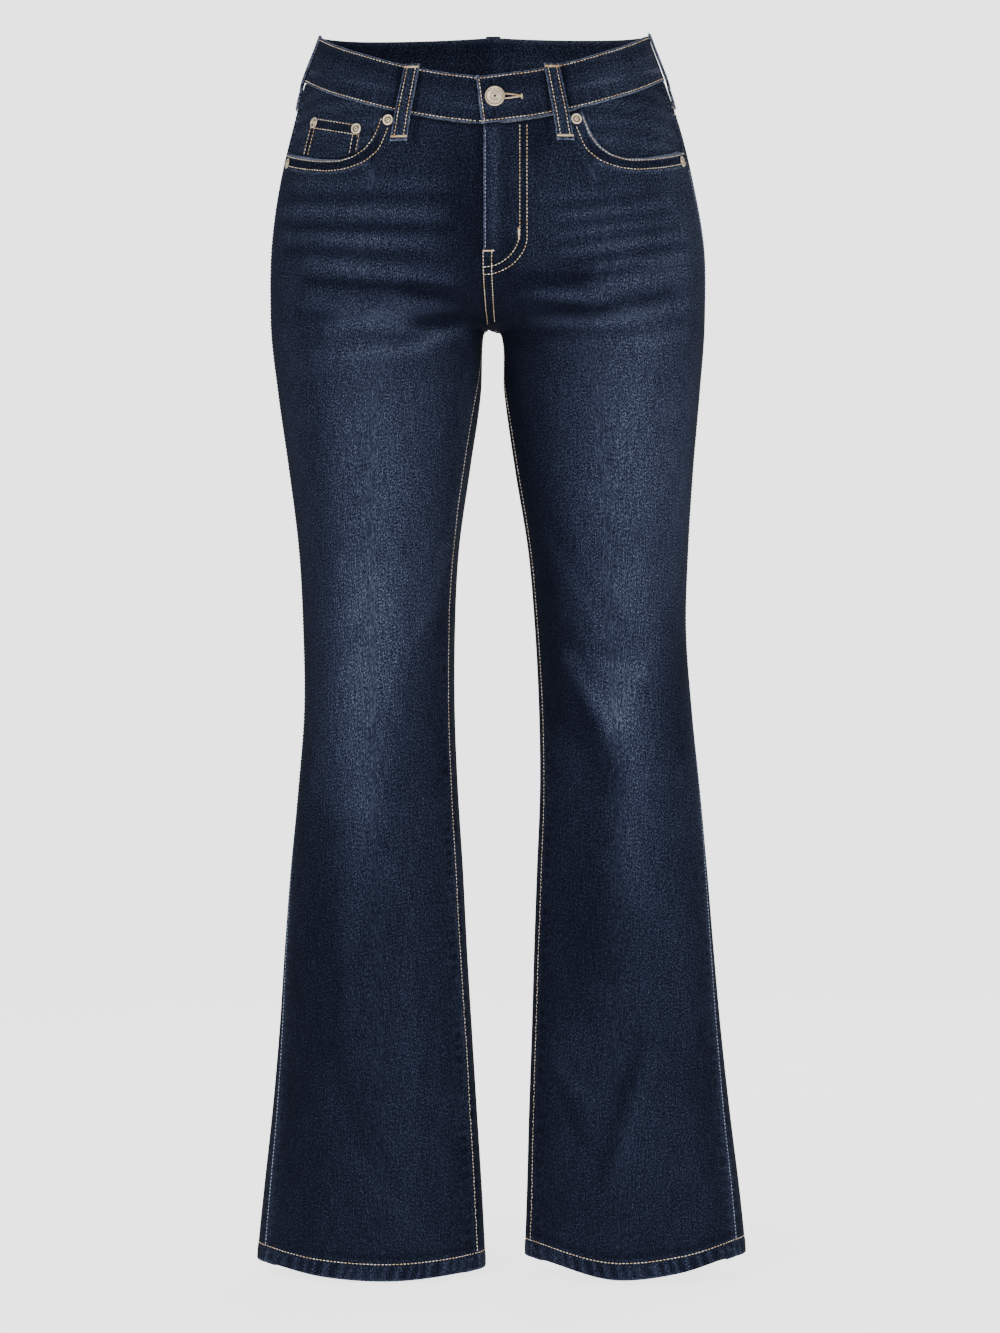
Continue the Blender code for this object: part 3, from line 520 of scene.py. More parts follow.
class Skin:
    """The surface that all the cloth lies on."""

    def __init__(self) -> None:
        """Measure the lengths round the skin from seam to seam."""
        self.heights = np.concatenate([np.linspace(-1.08, -0.2455, 120), np.linspace(-0.2445, 0.03, 60)])
        self.girths = {}
        for side in Side:
            for back in (False, True):
                start = 0.5 if back else 0.0
                shares = np.linspace(start, start + 0.5, SAMPLES)
                points = self.bare(side, self.heights[:, None], shares[None, :])
                lengths = np.linalg.norm(np.diff(points, axis=1), axis=2).sum(axis=1)
                self.girths[side, back] = lengths

    def girth(self, side: Side, back: bool, height: Array) -> Array:
        """Length round the skin from the front or back seam to the outseam."""
        return np.interp(height, self.heights, self.girths[side, back])

    def way_at(self, side: Side, back: bool, height: Array, along: Array) -> Array:
        """Way round at a length from the front seam or, on the back, from the outseam."""
        return (0.5 if back else 0.0) + 0.5 * along / self.girth(side, back, height)

    def bare(self, which: Side, height: Array, way: Array) -> Array:
        """Points of the skin without its folds.

        Args:
            which: the half of the body.
            height: heights of the places.
            way: ways round of the places.

        Returns:
            The points.
        """
        height, way = np.broadcast_arrays(np.asarray(height, float), np.asarray(way, float))
        above = height > CROTCH
        outside = (way < 0) | (way > 1)
        turned = np.where(way < 0, -way, 2 - way)
        side = np.where(above & outside, -which.value, which.value)
        way = np.where(outside, np.where(above, turned, way - np.floor(way)), way)
        left = side > 0
        out = np.where(left, section_value("left_out", height), section_value("right_out", height))
        gap = np.where(left, section_value("left_in", height), section_value("right_in", height))
        drop = np.clip((CROTCH - height) / CROTCH_ROUNDING, 0.0, 1.0)
        gap = gap * np.sqrt(1 - (1 - drop) ** 2)
        middle = np.where(above, section_value("hub", height) * out, 0.5 * (out + gap))
        power = section_value("power", height)
        front, back = section_value("front", height), section_value("back", height)
        front_share = np.sqrt(1 - (1 - np.clip((height - CROTCH) / FRONT_CURVE, 0.0, 1.0)) ** 2)
        back_share = np.sqrt(1 - (1 - np.clip((height - CROTCH) / BACK_CURVE, 0.0, 1.0)) ** 2)
        inseam = np.radians(section_value("inseam_turn", height)) * ease(0.0, 0.02, CROTCH - height)
        outseam = -np.radians(section_value("outseam_turn", height))
        start = np.where(above, -math.pi + np.arctan2(front_share * front, middle), inseam - math.pi)
        end = np.where(above, math.pi - np.arctan2(back_share * back, middle), inseam + math.pi)
        in_front = way <= 0.5
        first = np.where(in_front, start, outseam)
        last = np.where(in_front, outseam, end)
        share = np.where(in_front, 2 * way, 2 * way - 1)

        def flat_place(angle: Array, pick: Callable) -> tuple[Array, Array]:
            """Place in the section at an angle round its middle."""
            across, along = np.cos(angle), np.sin(angle)
            is_back = along > 0
            deep = np.where(is_back, pick(back), pick(front))
            lift = np.minimum(np.where(is_back, pick(back_share), pick(front_share)), 0.9995)
            sharp = pick(power)
            reach = np.maximum(pick(middle), 1e-4) / (1 - lift ** sharp) ** (1 / sharp)
            inner = np.where(pick(above), reach, pick(middle) - pick(gap))
            wide = np.where(across > 0, pick(out) - pick(middle), inner)
            radius = (np.abs(across / wide) ** sharp + np.abs(along / deep) ** sharp) ** (-1 / sharp)
            return pick(middle) + radius * across, radius * along

        steps = np.linspace(0.0, 1.0, SAMPLES)
        angles = first[..., None] + (last - first)[..., None] * steps
        x, y = flat_place(angles, lambda values: values[..., None])
        lengths = np.hypot(np.diff(x, axis=-1), np.diff(y, axis=-1))
        nothing = np.zeros(lengths.shape[:-1] + (1,))
        reached = np.concatenate([nothing, np.cumsum(lengths, axis=-1)], axis=-1)
        target = share * reached[..., -1]
        index = np.clip((reached < target[..., None]).sum(axis=-1) - 1, 0, SAMPLES - 2)
        low = np.take_along_axis(reached, index[..., None], axis=-1)[..., 0]
        high = np.take_along_axis(reached, index[..., None] + 1, axis=-1)[..., 0]
        position = (index + (target - low) / np.maximum(high - low, 1e-9)) / (SAMPLES - 1)
        x, y = flat_place(first + (last - first) * position, lambda values: values)
        return np.stack([side * x, y, height], axis=-1)

    def folded(self, side: Side, height: Array, way: Array) -> "Surface":
        """The skin with its folds and small creases.

        Args:
            side: the half of the body.
            height: heights of the places.
            way: ways round of the places.

        Returns:
            Its points, outward normals, and fading with painted shade there.
        """
        height, way = np.broadcast_arrays(np.asarray(height, float), np.asarray(way, float))
        step, turn = 0.0006, 0.0033
        points = self.bare(side, height, way)
        down = self.bare(side, height + step, way) - self.bare(side, height - step, way)
        ahead = self.bare(side, height, way + turn) - self.bare(side, height, way - turn)
        normals = np.cross(ahead, down) * side.value
        normals /= np.linalg.norm(normals, axis=-1, keepdims=True)
        rise = np.zeros(points.shape[:-1])
        for row in FOLDS:
            fold = dict(zip(FOLD_COLUMNS, row))
            run_x, run_z = fold["end_x"] - fold["start_x"], fold["end_z"] - fold["start_z"]
            length = math.hypot(run_x, run_z)
            from_x, from_z = points[..., 0] - fold["start_x"], points[..., 2] - fold["start_z"]
            along = (from_x * run_x + from_z * run_z) / length ** 2
            across = (from_z * run_x - from_x * run_z) / length
            taper = np.clip(4 * along * (1 - along), 0.0, 1.0) ** 0.7
            facing = ease(0.1, 0.5, normals[..., 1] * fold["face"])
            rise += fold["rise"] * taper * facing * np.exp(-((across / fold["width"]) ** 2))
        in_front = ease(-0.15, 0.35, -normals[..., 1])
        behind = ease(0.05, 0.45, normals[..., 1])
        seen_x, seen_z = EYE.seen(points)
        front_fade_and_shade, front_rise = stroke_sums(
            FRONT_STROKES, PICTURE_MIDDLE + seen_x / PICTURE_POINT, PICTURE_WAIST - seen_z / PICTURE_POINT)
        back_fade_and_shade, back_rise = stroke_sums(
            BACK_STROKES, np.abs(points[..., 0]) / MILLIMETRE, points[..., 2] / MILLIMETRE)
        rise += front_rise * in_front + back_rise * behind
        fade = front_fade_and_shade * in_front + back_fade_and_shade * behind
        return Surface(points + normals * rise[..., None], normals, fade)


@dataclass
class Surface:
    """Points of cloth with their outward normals and how far they are faded, painted shade included."""

    points: Array
    normals: Array
    fade: Array


SKIN = Skin()


def pucker(along: Array, phase: float, pitch: float = 0.0098) -> Array:
    """Uneven small gathers along a seam, from 0 between them to 1 in each dent.

    Args:
        along: length along the seam.
        phase: where the gathers start.
        pitch: length from one to the next.

    Returns:
        The depth of the gathers.
    """
    wobble = 0.9 * np.sin(along * 134 + phase) + 0.7 * np.sin(along * 203 + 1.7 * phase)
    wave = 0.5 + 0.5 * np.sin(2 * math.pi * along / pitch + wobble)
    return wave ** 1.5 * (0.65 + 0.35 * np.sin(along * 76 + 2.3 * phase))


def rounded(distance: Array, radius: float, depth: float) -> Array:
    """How far a cloth's edge is turned down, at a distance from it."""
    share = 1 - np.clip(distance / radius, 0.0, 1.0)
    return -depth * (1 - np.sqrt(np.maximum(1 - share ** 2, 0.0)))


def bell(distance: Array, middle: float, width: float) -> Array:
    """A soft bump of height 1 round a distance."""
    return np.exp(-(((distance - middle) / width) ** 2))


def within(value: Array, rise: tuple, fall: tuple) -> Array:
    """1 between two soft edges and 0 outside them."""
    return ease(*rise, value) * (1 - ease(*fall, value))


def crowded(count: int, strength: float) -> Array:
    """Shares from 0 to 1 in steps that are smaller at both ends."""
    share = np.linspace(0.0, 1.0, count + 1)
    return share - strength * np.sin(2 * math.pi * share) / (2 * math.pi) * 3


def lap_end(share: Array) -> Array:
    """How far the left waistband passes the middle, at a share of its depth."""
    return BAND_LAP_FOOT + (BAND_LAP_TOP - BAND_LAP_FOOT) * share


class Graph:
    """A material's nodes, added and joined by name."""

    def __init__(self, name: str) -> None:
        """Start an empty material."""
        self.material = bpy.data.materials.new(name)
        self.material.use_nodes = True
        self.tree = self.material.node_tree
        self.shader = self.tree.nodes["Principled BSDF"]

    def add(self, kind: str, inputs: dict | None = None, **settings) -> bpy.types.Node:
        """A new node.

        Args:
            kind: its type, without ShaderNode.
            inputs: values or sockets for its inputs.
            settings: its own properties.

        Returns:
            The node.
        """
        node = self.tree.nodes.new("ShaderNode" + kind)
        for key, value in settings.items():
            setattr(node, key, value)
        for key, value in (inputs or {}).items():
            if isinstance(value, Socket):
                self.tree.links.new(value, node.inputs[key])
            else:
                node.inputs[key].default_value = value
        return node

    def math(self, operation: str, first: Socket, second: Socket | float,
             clamp: bool = False) -> Socket:
        """A sum, product or the like of a socket and a second socket or value."""
        return self.add("Math", {0: first, 1: second}, operation=operation, use_clamp=clamp).outputs[0]

    def swing(self, value: Socket, strength: float) -> Socket:
        """A noise brought to swing round 0."""
        return self.math("MULTIPLY", self.math("SUBTRACT", value, 0.5), strength)

    def line(self, value: Socket, slope: float, start: float) -> Socket:
        """A value on a straight line."""
        return self.math("ADD", self.math("MULTIPLY", value, slope), start)

    def noise(self, vector: Socket, scale: float, detail: float = 2.0,
              roughness: float = 0.5) -> Socket:
        """A noise from about 0 to 1."""
        inputs = {"Vector": vector, "Scale": scale, "Detail": detail, "Roughness": roughness}
        return self.add("TexNoise", inputs).outputs["Fac"]

    def stretched(self, vector: Socket, scale: tuple,
                  turn: float = 0.0) -> Socket:
        """Coordinates stretched and turned in their plane."""
        inputs = {"Vector": vector, "Scale": scale, "Rotation": (0.0, 0.0, turn)}
        return self.add("Mapping", inputs, vector_type="POINT").outputs[0]

    def ramp(self, value: Socket, stops: tuple) -> Socket:
        """A colour ramp.

        Args:
            value: where to read it.
            stops: places with their (red, green, blue).

        Returns:
            The colour.
        """
        node = self.add("ValToRGB", {"Fac": value})
        elements = node.color_ramp.elements
        while len(elements) < len(stops):
            elements.new(0.5)
        for element, (place, colour) in zip(elements, stops):
            element.position = place
            element.color = (*colour, 1.0)
        return node.outputs["Color"]

    def finish(self, **values) -> Material:
        """Set the shader's inputs.

        Args:
            values: values or sockets by input, with _ for each space in its name.

        Returns:
            The material.
        """
        for key, value in values.items():
            socket = self.shader.inputs[key.replace("_", " ")]
            if isinstance(value, Socket):
                self.tree.links.new(value, socket)
            else:
                socket.default_value = value
        return self.material


@dataclass(frozen=True)
class DenimFinish:
    """Twill denim: pale specks and slubs on indigo, faded, and darkened by painted shade, where the cloth
    says.
    """

    name: str = "indigo_twill"
    stops: tuple = (
        (0.00, (0.0025, 0.0035, 0.0078)),
        (0.25, (0.0104, 0.0134, 0.0268)),
        (0.50, (0.0240, 0.0310, 0.0570)),
        (0.75, (0.0490, 0.0600, 0.0990)),
        (1.00, (0.1240, 0.1450, 0.2000)),
    )
    speck: float = 2.9
    slub: float = 0.6
    mottle: float = 0.16
    gain: float = 0.74
    twill: float = 0.10
    twill_turn: float = math.radians(-27)
    relief: float = 0.00022

    def make(self) -> Material:
        """Build the material.

        Returns:
            The material.
        """
        graph = Graph(self.name)
        cloth = graph.add("UVMap", uv_map="cloth").outputs[0]
        place = graph.add("TexCoord").outputs["Object"]
        fade = graph.add("Attribute", attribute_name="fade").outputs["Fac"]
        wear = graph.add("Attribute", attribute_name="wear").outputs["Fac"]
        specks = graph.noise(graph.stretched(cloth, (1.0, 0.72, 1.0)), 900.0, 2.0, 0.75)
        slubs = graph.noise(graph.stretched(cloth, (1.0, 0.045, 1.0)), 1000.0, 1.5, 0.6)
        twill = graph.noise(graph.stretched(cloth, (1.0, 0.16, 1.0), self.twill_turn), 1300.0, 1.0)
        clouds = graph.noise(graph.stretched(place, (1.0, 1.0, 0.45)), 34.0, 3.0, 0.55)
        rubbed = graph.noise(place, 260.0, 2.0, 0.6)
        grain = graph.math("ADD", graph.swing(specks, self.speck), graph.swing(slubs, self.slub))
        grain = graph.math("ADD", grain, graph.swing(twill, self.twill))
        grain = graph.math("MULTIPLY", grain, graph.line(fade, 0.9, 0.65))
        worn = graph.math("MULTIPLY", wear, graph.line(rubbed, 1.5, 0.15))
        tone = graph.math("ADD", graph.math("MULTIPLY", fade, self.gain), worn)
        tone = graph.math("ADD", tone, graph.math("ADD", grain, graph.swing(clouds, self.mottle)), True)
        bumps = graph.math("ADD", graph.math("MULTIPLY", twill, 0.6), graph.math("MULTIPLY", slubs, 0.4))
        bump = graph.add("Bump", {"Height": bumps, "Distance": self.relief, "Strength": 0.7}).outputs[0]
        colour = graph.ramp(tone, self.stops)
        return graph.finish(Base_Color=colour, Roughness=0.95, Specular_IOR_Level=0.04, Normal=bump)


@dataclass(frozen=True)
class ThreadFinish:
    """Top stitching thread, uneven in colour along its length."""

    name: str
    light: tuple
    dark: tuple

    def make(self) -> Material:
        """Build the material.

        Returns:
            The material.
        """
        graph = Graph(self.name)
        place = graph.add("TexCoord").outputs["Object"]
        tint = graph.noise(place, 210.0, 1.0)
        colour = graph.ramp(tint, ((0.38, self.dark), (0.62, self.light)))
        strands = graph.noise(place, 3200.0, 1.0)
        bump = graph.add("Bump", {"Height": strands, "Distance": 0.0001, "Strength": 0.5}).outputs[0]
        return graph.finish(Base_Color=colour, Roughness=0.6, Normal=bump, Sheen_Weight=0.1)


@dataclass(frozen=True)
class MetalFinish:
    """Cast and brushed metal with a little tarnish."""

    name: str
    light: tuple
    dark: tuple
    roughness: float = 0.36
    tarnish: float = 0.62

    def make(self) -> Material:
        """Build the material.

        Returns:
            The material.
        """
        graph = Graph(self.name)
        place = graph.add("TexCoord").outputs["Object"]
        stain = graph.noise(place, 420.0, 3.0, 0.6)
        grit = graph.noise(place, 2600.0, 2.0)
        dull = graph.add("Attribute", attribute_name="tarnish").outputs["Fac"]
        stain = graph.math("SUBTRACT", stain, graph.math("MULTIPLY", dull, self.tarnish))
        deep = tuple(0.22 * part for part in self.dark)
        colour = graph.ramp(stain, ((0.0, deep), (0.30, self.dark), (0.62, self.light)))
        rough = graph.add("MapRange", {
            "Value": stain, "To Min": self.roughness + 0.16, "To Max": self.roughness})
        bump = graph.add("Bump", {"Height": grit, "Distance": 0.00008, "Strength": 0.4}).outputs[0]
        return graph.finish(Base_Color=colour, Metallic=0.85, Roughness=rough.outputs[0], Normal=bump)


@dataclass
class Finishes:
    """Every finish of the jeans, made once."""

    denim: Material = field(default_factory=DenimFinish().make)
    reverse: Material = field(default_factory=DenimFinish(
        name="twill_reverse",
        stops=(
            (0.0, (0.05, 0.06, 0.08)),
            (0.3, (0.12, 0.14, 0.18)),
            (0.6, (0.22, 0.25, 0.30)),
            (0.8, (0.34, 0.37, 0.42)),
            (1.0, (0.48, 0.50, 0.54)),
        ),
        mottle=0.06,
    ).make)
    gold: Material = field(
        default_factory=ThreadFinish("gold_thread", (0.80, 0.72, 0.56), (0.50, 0.30, 0.12)).make)
    tack: Material = field(
        default_factory=ThreadFinish("tack_thread", (0.74, 0.58, 0.34), (0.48, 0.30, 0.13)).make)
    cream: Material = field(
        default_factory=ThreadFinish("cream_thread", (0.68, 0.63, 0.55), (0.42, 0.33, 0.24)).make)
    pale: Material = field(
        default_factory=ThreadFinish("pale_thread", (0.74, 0.68, 0.58), (0.52, 0.34, 0.18)).make)
    blue: Material = field(
        default_factory=ThreadFinish("blue_thread", (0.26, 0.31, 0.40), (0.12, 0.15, 0.22)).make)
    champagne: Material = field(
        default_factory=MetalFinish("champagne_metal", (0.70, 0.59, 0.43), (0.50, 0.41, 0.28)).make)
    copper: Material = field(
        default_factory=MetalFinish("copper_metal", (0.92, 0.80, 0.64), (0.58, 0.45, 0.31)).make)


def ride_as(piece: bpy.types.Object, nodes: tuple = ()) -> bpy.types.Object:
    """Put a piece on the body and the nodes it stands for.

    Args:
        piece: the finished piece.
        nodes: the nodes that it replaces.

    Returns:
        The piece.
    """
    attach(piece, "root")
    if nodes:
        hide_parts(*nodes)
    LOG.info("%s: %d faces", piece.name, len(piece.data.polygons))
    return piece


def finished(name: str, mesh: bmesh.types.BMesh, materials: list,
             crease: float = 40.0) -> bpy.types.Object:
    """An object from a bmesh, smooth but for its sharp edges.

    Args:
        name: the object's name.
        mesh: its mesh, which is freed.
        materials: its materials.
        crease: the angle in degrees from which an edge is sharp.

    Returns:
        The object.
    """
    data = bpy.data.meshes.new(name)
    mesh.to_mesh(data)
    mesh.free()
    for material in materials:
        data.materials.append(material)
    data.shade_smooth()
    data.set_sharp_from_angle(angle=math.radians(crease))
    made = bpy.data.objects.new(name, data)
    bpy.context.scene.collection.objects.link(made)
    return made


@dataclass
class Cloth:
    """A panel of cloth over a grid of places on the skin, columns by rows."""

    name: str
    side: Side
    nodes: tuple
    flat: tuple
    area: float
    held: str = "hung"
    rests_on: tuple = ()
    thickness: float = 0.0012
    base_fade: float = 0.24
    reverse_fade: float = 0.75
    pattern_start: float = 0.15
    inner_step: int = 3
    plain_inside: bool = False
    back: bool = False

    def places(self) -> tuple[Array, Array]:
        """Heights and ways of the grid, as columns by rows.

        Returns:
            The heights and the ways.
        """
        raise NotImplementedError

    def lift(self, height: Array, way: Array) -> Array:
        """How far the cloth's face lies out from the skin."""
        raise NotImplementedError

    def wash(self, height: Array, way: Array) -> tuple[Array, Array]:
        """Extra fading, painted shade and edge wear at places on the cloth."""
        return np.zeros(height.shape), np.zeros(height.shape)

    def depth(self, height: Array, way: Array) -> Array:
        """The cloth's thickness at places."""
        return np.full(height.shape, self.thickness)

    def surface(self, height: Array, way: Array, above: float = 0.0) -> Surface:
        """The cloth's face at places.

        Args:
            height: heights of the places.
            way: ways round of the places.
            above: distance out from the face.

        Returns:
            Points, normals, and fading with painted shade.
        """
        height, way = np.broadcast_arrays(np.asarray(height, float), np.asarray(way, float))
        skin = SKIN.folded(self.side, height, way)
        points = skin.points + skin.normals * (self.lift(height, way) + above)[..., None]
        return Surface(points, skin.normals, skin.fade)

    def held_apart(self, points: Array, way: Array) -> Array:
        """Keep a panel on its own side of the body's middle, just clear of the other."""
        across = np.maximum(points[..., 0] * self.side.value, MIDDLE_GAP) * self.side.value
        own = (way >= 0) & (way <= 1)
        points[..., 0] = np.where(own, across, points[..., 0])
        return points

    def build(self, finishes: Finishes) -> bpy.types.Object:
        """Make the panel as a closed shell.

        Args:
            finishes: the finishes.

        Returns:
            The panel.
        """
        height, way = self.places()
        face = self.surface(height, way)
        fade, wear = self.wash(height, way)
        step = self.inner_step
        coarse = (slice(None, None, step), slice(None, None, step))
        deep = self.depth(height, way)[coarse]
        inside = face.points[coarse] - face.normals[coarse] * deep[..., None]
        outside = self.held_apart(face.points, way)
        inside = self.held_apart(inside, way[coarse])

        mesh = bmesh.new()
        sheets = []
        for points in (outside, inside):
            columns, rows = points.shape[:2]
            made = bmesh.ops.create_grid(mesh, x_segments=columns - 1, y_segments=rows - 1, size=0.5)
            grid = {}
            for vert in made["verts"]:
                key = (round((vert.co.x + 0.5) * (columns - 1)), round((vert.co.y + 0.5) * (rows - 1)))
                grid[key] = vert
                vert.co = Vector(points[key])
            sheets.append(grid)
        mesh.faces.ensure_lookup_table()
        columns, rows = outside.shape[:2]
        outer_faces = (columns - 1) * (rows - 1)
        for face_index in range(outer_faces, len(mesh.faces)):
            mesh.faces[face_index].material_index = 0 if self.plain_inside else 1
        self.close_rim(mesh, sheets, columns, rows, step)
        bmesh.ops.recalc_face_normals(mesh, faces=mesh.faces)
        if mesh.calc_volume(signed=True) < 0:
            bmesh.ops.reverse_faces(mesh, faces=mesh.faces)
        mesh.verts.index_update()
        places = np.zeros((len(mesh.verts), 2), int)
        layer = np.zeros(len(mesh.verts), bool)
        for number, grid in enumerate(sheets):
            for key, vert in grid.items():
                places[vert.index] = np.array(key) * (step if number else 1)
                layer[vert.index] = bool(number)
        reverse = finishes.denim if self.plain_inside else finishes.reverse
        piece = finished(self.name, mesh, [finishes.denim, reverse])
        self.dress(piece.data, places, layer, face, fade, wear)
        ride_as(piece, self.nodes)
        return piece

    @staticmethod
    def close_rim(mesh: bmesh.types.BMesh, sheets: list, columns: int, rows: int, step: int) -> None:
        """Join the face and the reverse round their four edges."""
        outer, inner = sheets
        last_column, last_row = columns - 1, rows - 1
        edges = (
            [(place, 0) for place in range(columns)],
            [(last_column, place) for place in range(rows)],
            [(place, last_row) for place in range(last_column, -1, -1)],
            [(0, place) for place in range(last_row, -1, -1)],
        )
        for line in edges:
            for start in range(0, len(line) - 1, step):
                fine = [outer[key] for key in line[start:start + step + 1]]
                ends = [inner[line[at][0] // step, line[at][1] // step] for at in (start + step, start)]
                mesh.faces.new(fine + ends)

    def dress(self, data: bpy.types.Mesh, places: Array, layer: Array, face: Surface,
              fade: Array, wear: Array) -> None:
        """Give the mesh its cloth coordinates, fading with painted shade, and wear.

        Args:
            data: the panel's mesh.
            places: grid place of each vertex.
            layer: which vertices are on the reverse.
            face: the panel's face.
            fade: extra fading, with painted shade, over the grid.
            wear: edge wear over the grid.
        """
        across = np.zeros(face.points.shape[:2])
        up = np.zeros(face.points.shape[:2])
        across[1:] = np.cumsum(np.linalg.norm(np.diff(face.points, axis=0), axis=-1), axis=0)
        up[:, 1:] = np.cumsum(np.linalg.norm(np.diff(face.points, axis=1), axis=-1), axis=1)
        middle = across.shape[0] // 2
        across = across - across[middle:middle + 1] + self.pattern_start
        up = up[:, -1].max() - up
        vertex_of = np.zeros(len(data.loops), int)
        data.loops.foreach_get("vertex_index", vertex_of)
        index = (places[:, 0], places[:, 1])
        uv = np.stack([across[index], up[index]], axis=-1)[vertex_of]
        data.uv_layers.new(name="cloth").data.foreach_set("uv", uv.astype(np.float32).ravel())
        total = np.clip(self.base_fade + face.fade + fade, 0.0, 1.6)[index]
        reverse = layer & (not self.plain_inside)
        total = np.where(reverse, self.reverse_fade, total)
        worn = np.where(reverse, 0.0, np.clip(wear, -0.6, 1.0)[index])
        for name, values in (("fade", total), ("wear", worn)):
            data.attributes.new(name, "FLOAT", "POINT").data.foreach_set("value", values.astype(np.float32))


EDGE_STEPS = np.array([0.0, 0.0005, 0.0012, 0.0021, 0.0033, 0.0049, 0.0070, 0.0094, 0.0118])


def graded(count: int, power: float = 1.5) -> Array:
    """Shares from 0 to 1 in steps that grow."""
    return (np.arange(count + 1) / count) ** power


@dataclass
class Leg(Cloth):
    """A front or a back, from its upper edge down to the hem."""

    columns_between: int = 76
    row_pitch: float = 0.0023

    @property
    def first_way(self) -> float:
        """Way round of the panel's first edge."""
        return 0.5 if self.back else 0.0

    def top(self, way: Array) -> Array:
        """Height of the panel's upper edge."""
        if self.back:
            return band_value("yoke", way) - SEAM_GAP
        seam = band_value("seam", way) - SEAM_GAP
        return np.where(way > SCOOP[0][0], scoop_height(way) - 1.5 * SEAM_GAP, seam)

    def reach(self, height: Array) -> Array:
        """How far the panel's first edge passes the middle along the fly.

        Args:
            height: heights of the places.

        Returns:
            The distances.
        """
        if self.back:
            return np.zeros(np.shape(height))
        open_fly = ease(FLY_NARROWS[1], FLY_NARROWS[0], height)
        return (FLY_EDGE if self.side is Side.LEFT else -FLY_UNDER) * open_fly

    def edges(self, height: Array, way: Array) -> tuple[Array, Array, Array, Array]:
        """Distances from the panel's first, last, upper and lower edges.

        Args:
            height: heights of the places.
            way: ways round of the places.

        Returns:
            The four distances.
        """
        girth = SKIN.girth(self.side, self.back, height)
        first = 2 * girth * (way - self.first_way) - self.reach(height)
        last = 2 * girth * (self.first_way + 0.5 - way)
        step = 0.002
        low, high = self.first_way, self.first_way + 0.5
        ahead, behind = np.clip(way + step, low, high), np.clip(way - step, low, high)
        run = np.maximum((ahead - behind) * 2 * girth, 1e-5)
        slope = np.clip((self.top(ahead) - self.top(behind)) / run, -4, 4)
        top = (self.top(way) - height) / np.sqrt(1 + slope ** 2)
        return first, last, top, height - hem_height(self.side, way)

    def places(self) -> tuple[Array, Array]:
        """Heights and ways of the grid, as columns by rows.

        Returns:
            The heights and the ways.
        """
        margin = len(EDGE_STEPS)
        between = np.linspace(0.0, 1.0, self.columns_between + 2)[1:-1]
        height = self.row_heights(self.first_way + np.concatenate(
            [2.0 * EDGE_STEPS, 0.5 * np.clip(between, 0.03, 0.97), 0.5 - 2.0 * EDGE_STEPS[::-1]]))
        girth = SKIN.girth(self.side, self.back, height)
        start = self.first_way + 0.5 * (MIDDLE_GAP + self.reach(height)) / girth
        end = self.first_way + 0.5 - 0.5 * MIDDLE_GAP / girth
        way = np.zeros(height.shape)
        for place, step in enumerate(EDGE_STEPS):
            way[place] = start[place] + 0.5 * step / girth[place]
            way[-1 - place] = end[-1 - place] - 0.5 * step / girth[-1 - place]
        low, high = way[margin - 1], way[-margin]
        for place, share in enumerate(between):
            way[margin + place] = low + (high - low) * share
        return height, way

    def row_heights(self, way: Array) -> Array:
        """Heights of each column's rows, crowded at the crotch and at the edges.

        Args:
            way: ways round of the columns.

        Returns:
            The heights.
        """
        rows = np.array(LEG_ROWS)
        even = rows.copy()
        even[6:22] = np.linspace(rows[6], rows[21], 16)
        inner = 1.0 if self.back else 0.0
        crowd = (1 - np.clip(2 * np.abs(way - inner), 0.0, 1.0)) ** 2
        middle = even[None, :] + crowd[:, None] * (rows - even)[None, :]
        hem = hem_height(self.side, way)[:, None]
        top = self.top(way)[:, None]
        knots = np.concatenate([top, top + (middle[:, :1] - top) * 0.5, middle,
                                hem + HEM_DEPTH + 0.0003, hem + HEM_DEPTH - 0.0003, hem], axis=1)
        made = [knots[:, :1]]
        for place in range(knots.shape[1] - 1):
            low, high = knots[:, place], knots[:, place + 1]
            size = float(np.max(np.abs(high - low)))
            count = 3 * max(1, round(size / (3 * self.row_pitch)))
            shares = np.linspace(0.0, 1.0, count + 1)
            if place == 0:
                shares = graded(count)
            if place == knots.shape[1] - 2:
                shares = 1 - graded(count + 3)[::-1]
            made.append(low[:, None] + (high - low)[:, None] * shares[None, 1:])
        return np.concatenate(made, axis=1)

    def depth(self, height: Array, way: Array) -> Array:
        """Cloth is double in the turned-up hem."""
        return np.where(self.edges(height, way)[3] < HEM_DEPTH, 0.0024, self.thickness)

    def gathers(self, height: Array, way: Array) -> tuple[Array, Array, Array]:
        """Gathers by the first and last seams and in the hem, each from 0 to 1.

        Args:
            height: heights of the places.
            way: ways round of the places.

        Returns:
            The three depths.
        """
        first, last, _, foot = self.edges(height, way)
        phase = 1.3 * self.side.value + (2.1 if self.back else 0.4)
        legs = ease(-0.20, -0.30, height)
        knees = ease(-0.42, -0.80, height) * 0.75 + 0.25
        inner, outer = (last, first) if self.back else (first, last)
        by_inner = pucker(height, phase) * within(inner, (0.0015, 0.0045), (0.006, 0.0135)) * legs
        by_outer = pucker(height, phase + 3.1, 0.0104) * within(outer, (0.0012, 0.0045), (0.006, 0.0125))
        slanted = 2 * SKIN.girth(self.side, self.back, height) * way + 0.35 * foot
        in_hem = within(foot, (0.0, 0.004), (0.011, HEM_DEPTH))
        above_hem = within(foot, (0.0155, 0.018), (0.019, 0.027))
        hem = pucker(slanted, phase + 5.0, 0.0100) * (in_hem + 0.55 * above_hem)
        return by_inner * (0.35 + 0.65 * knees), by_outer * knees, hem

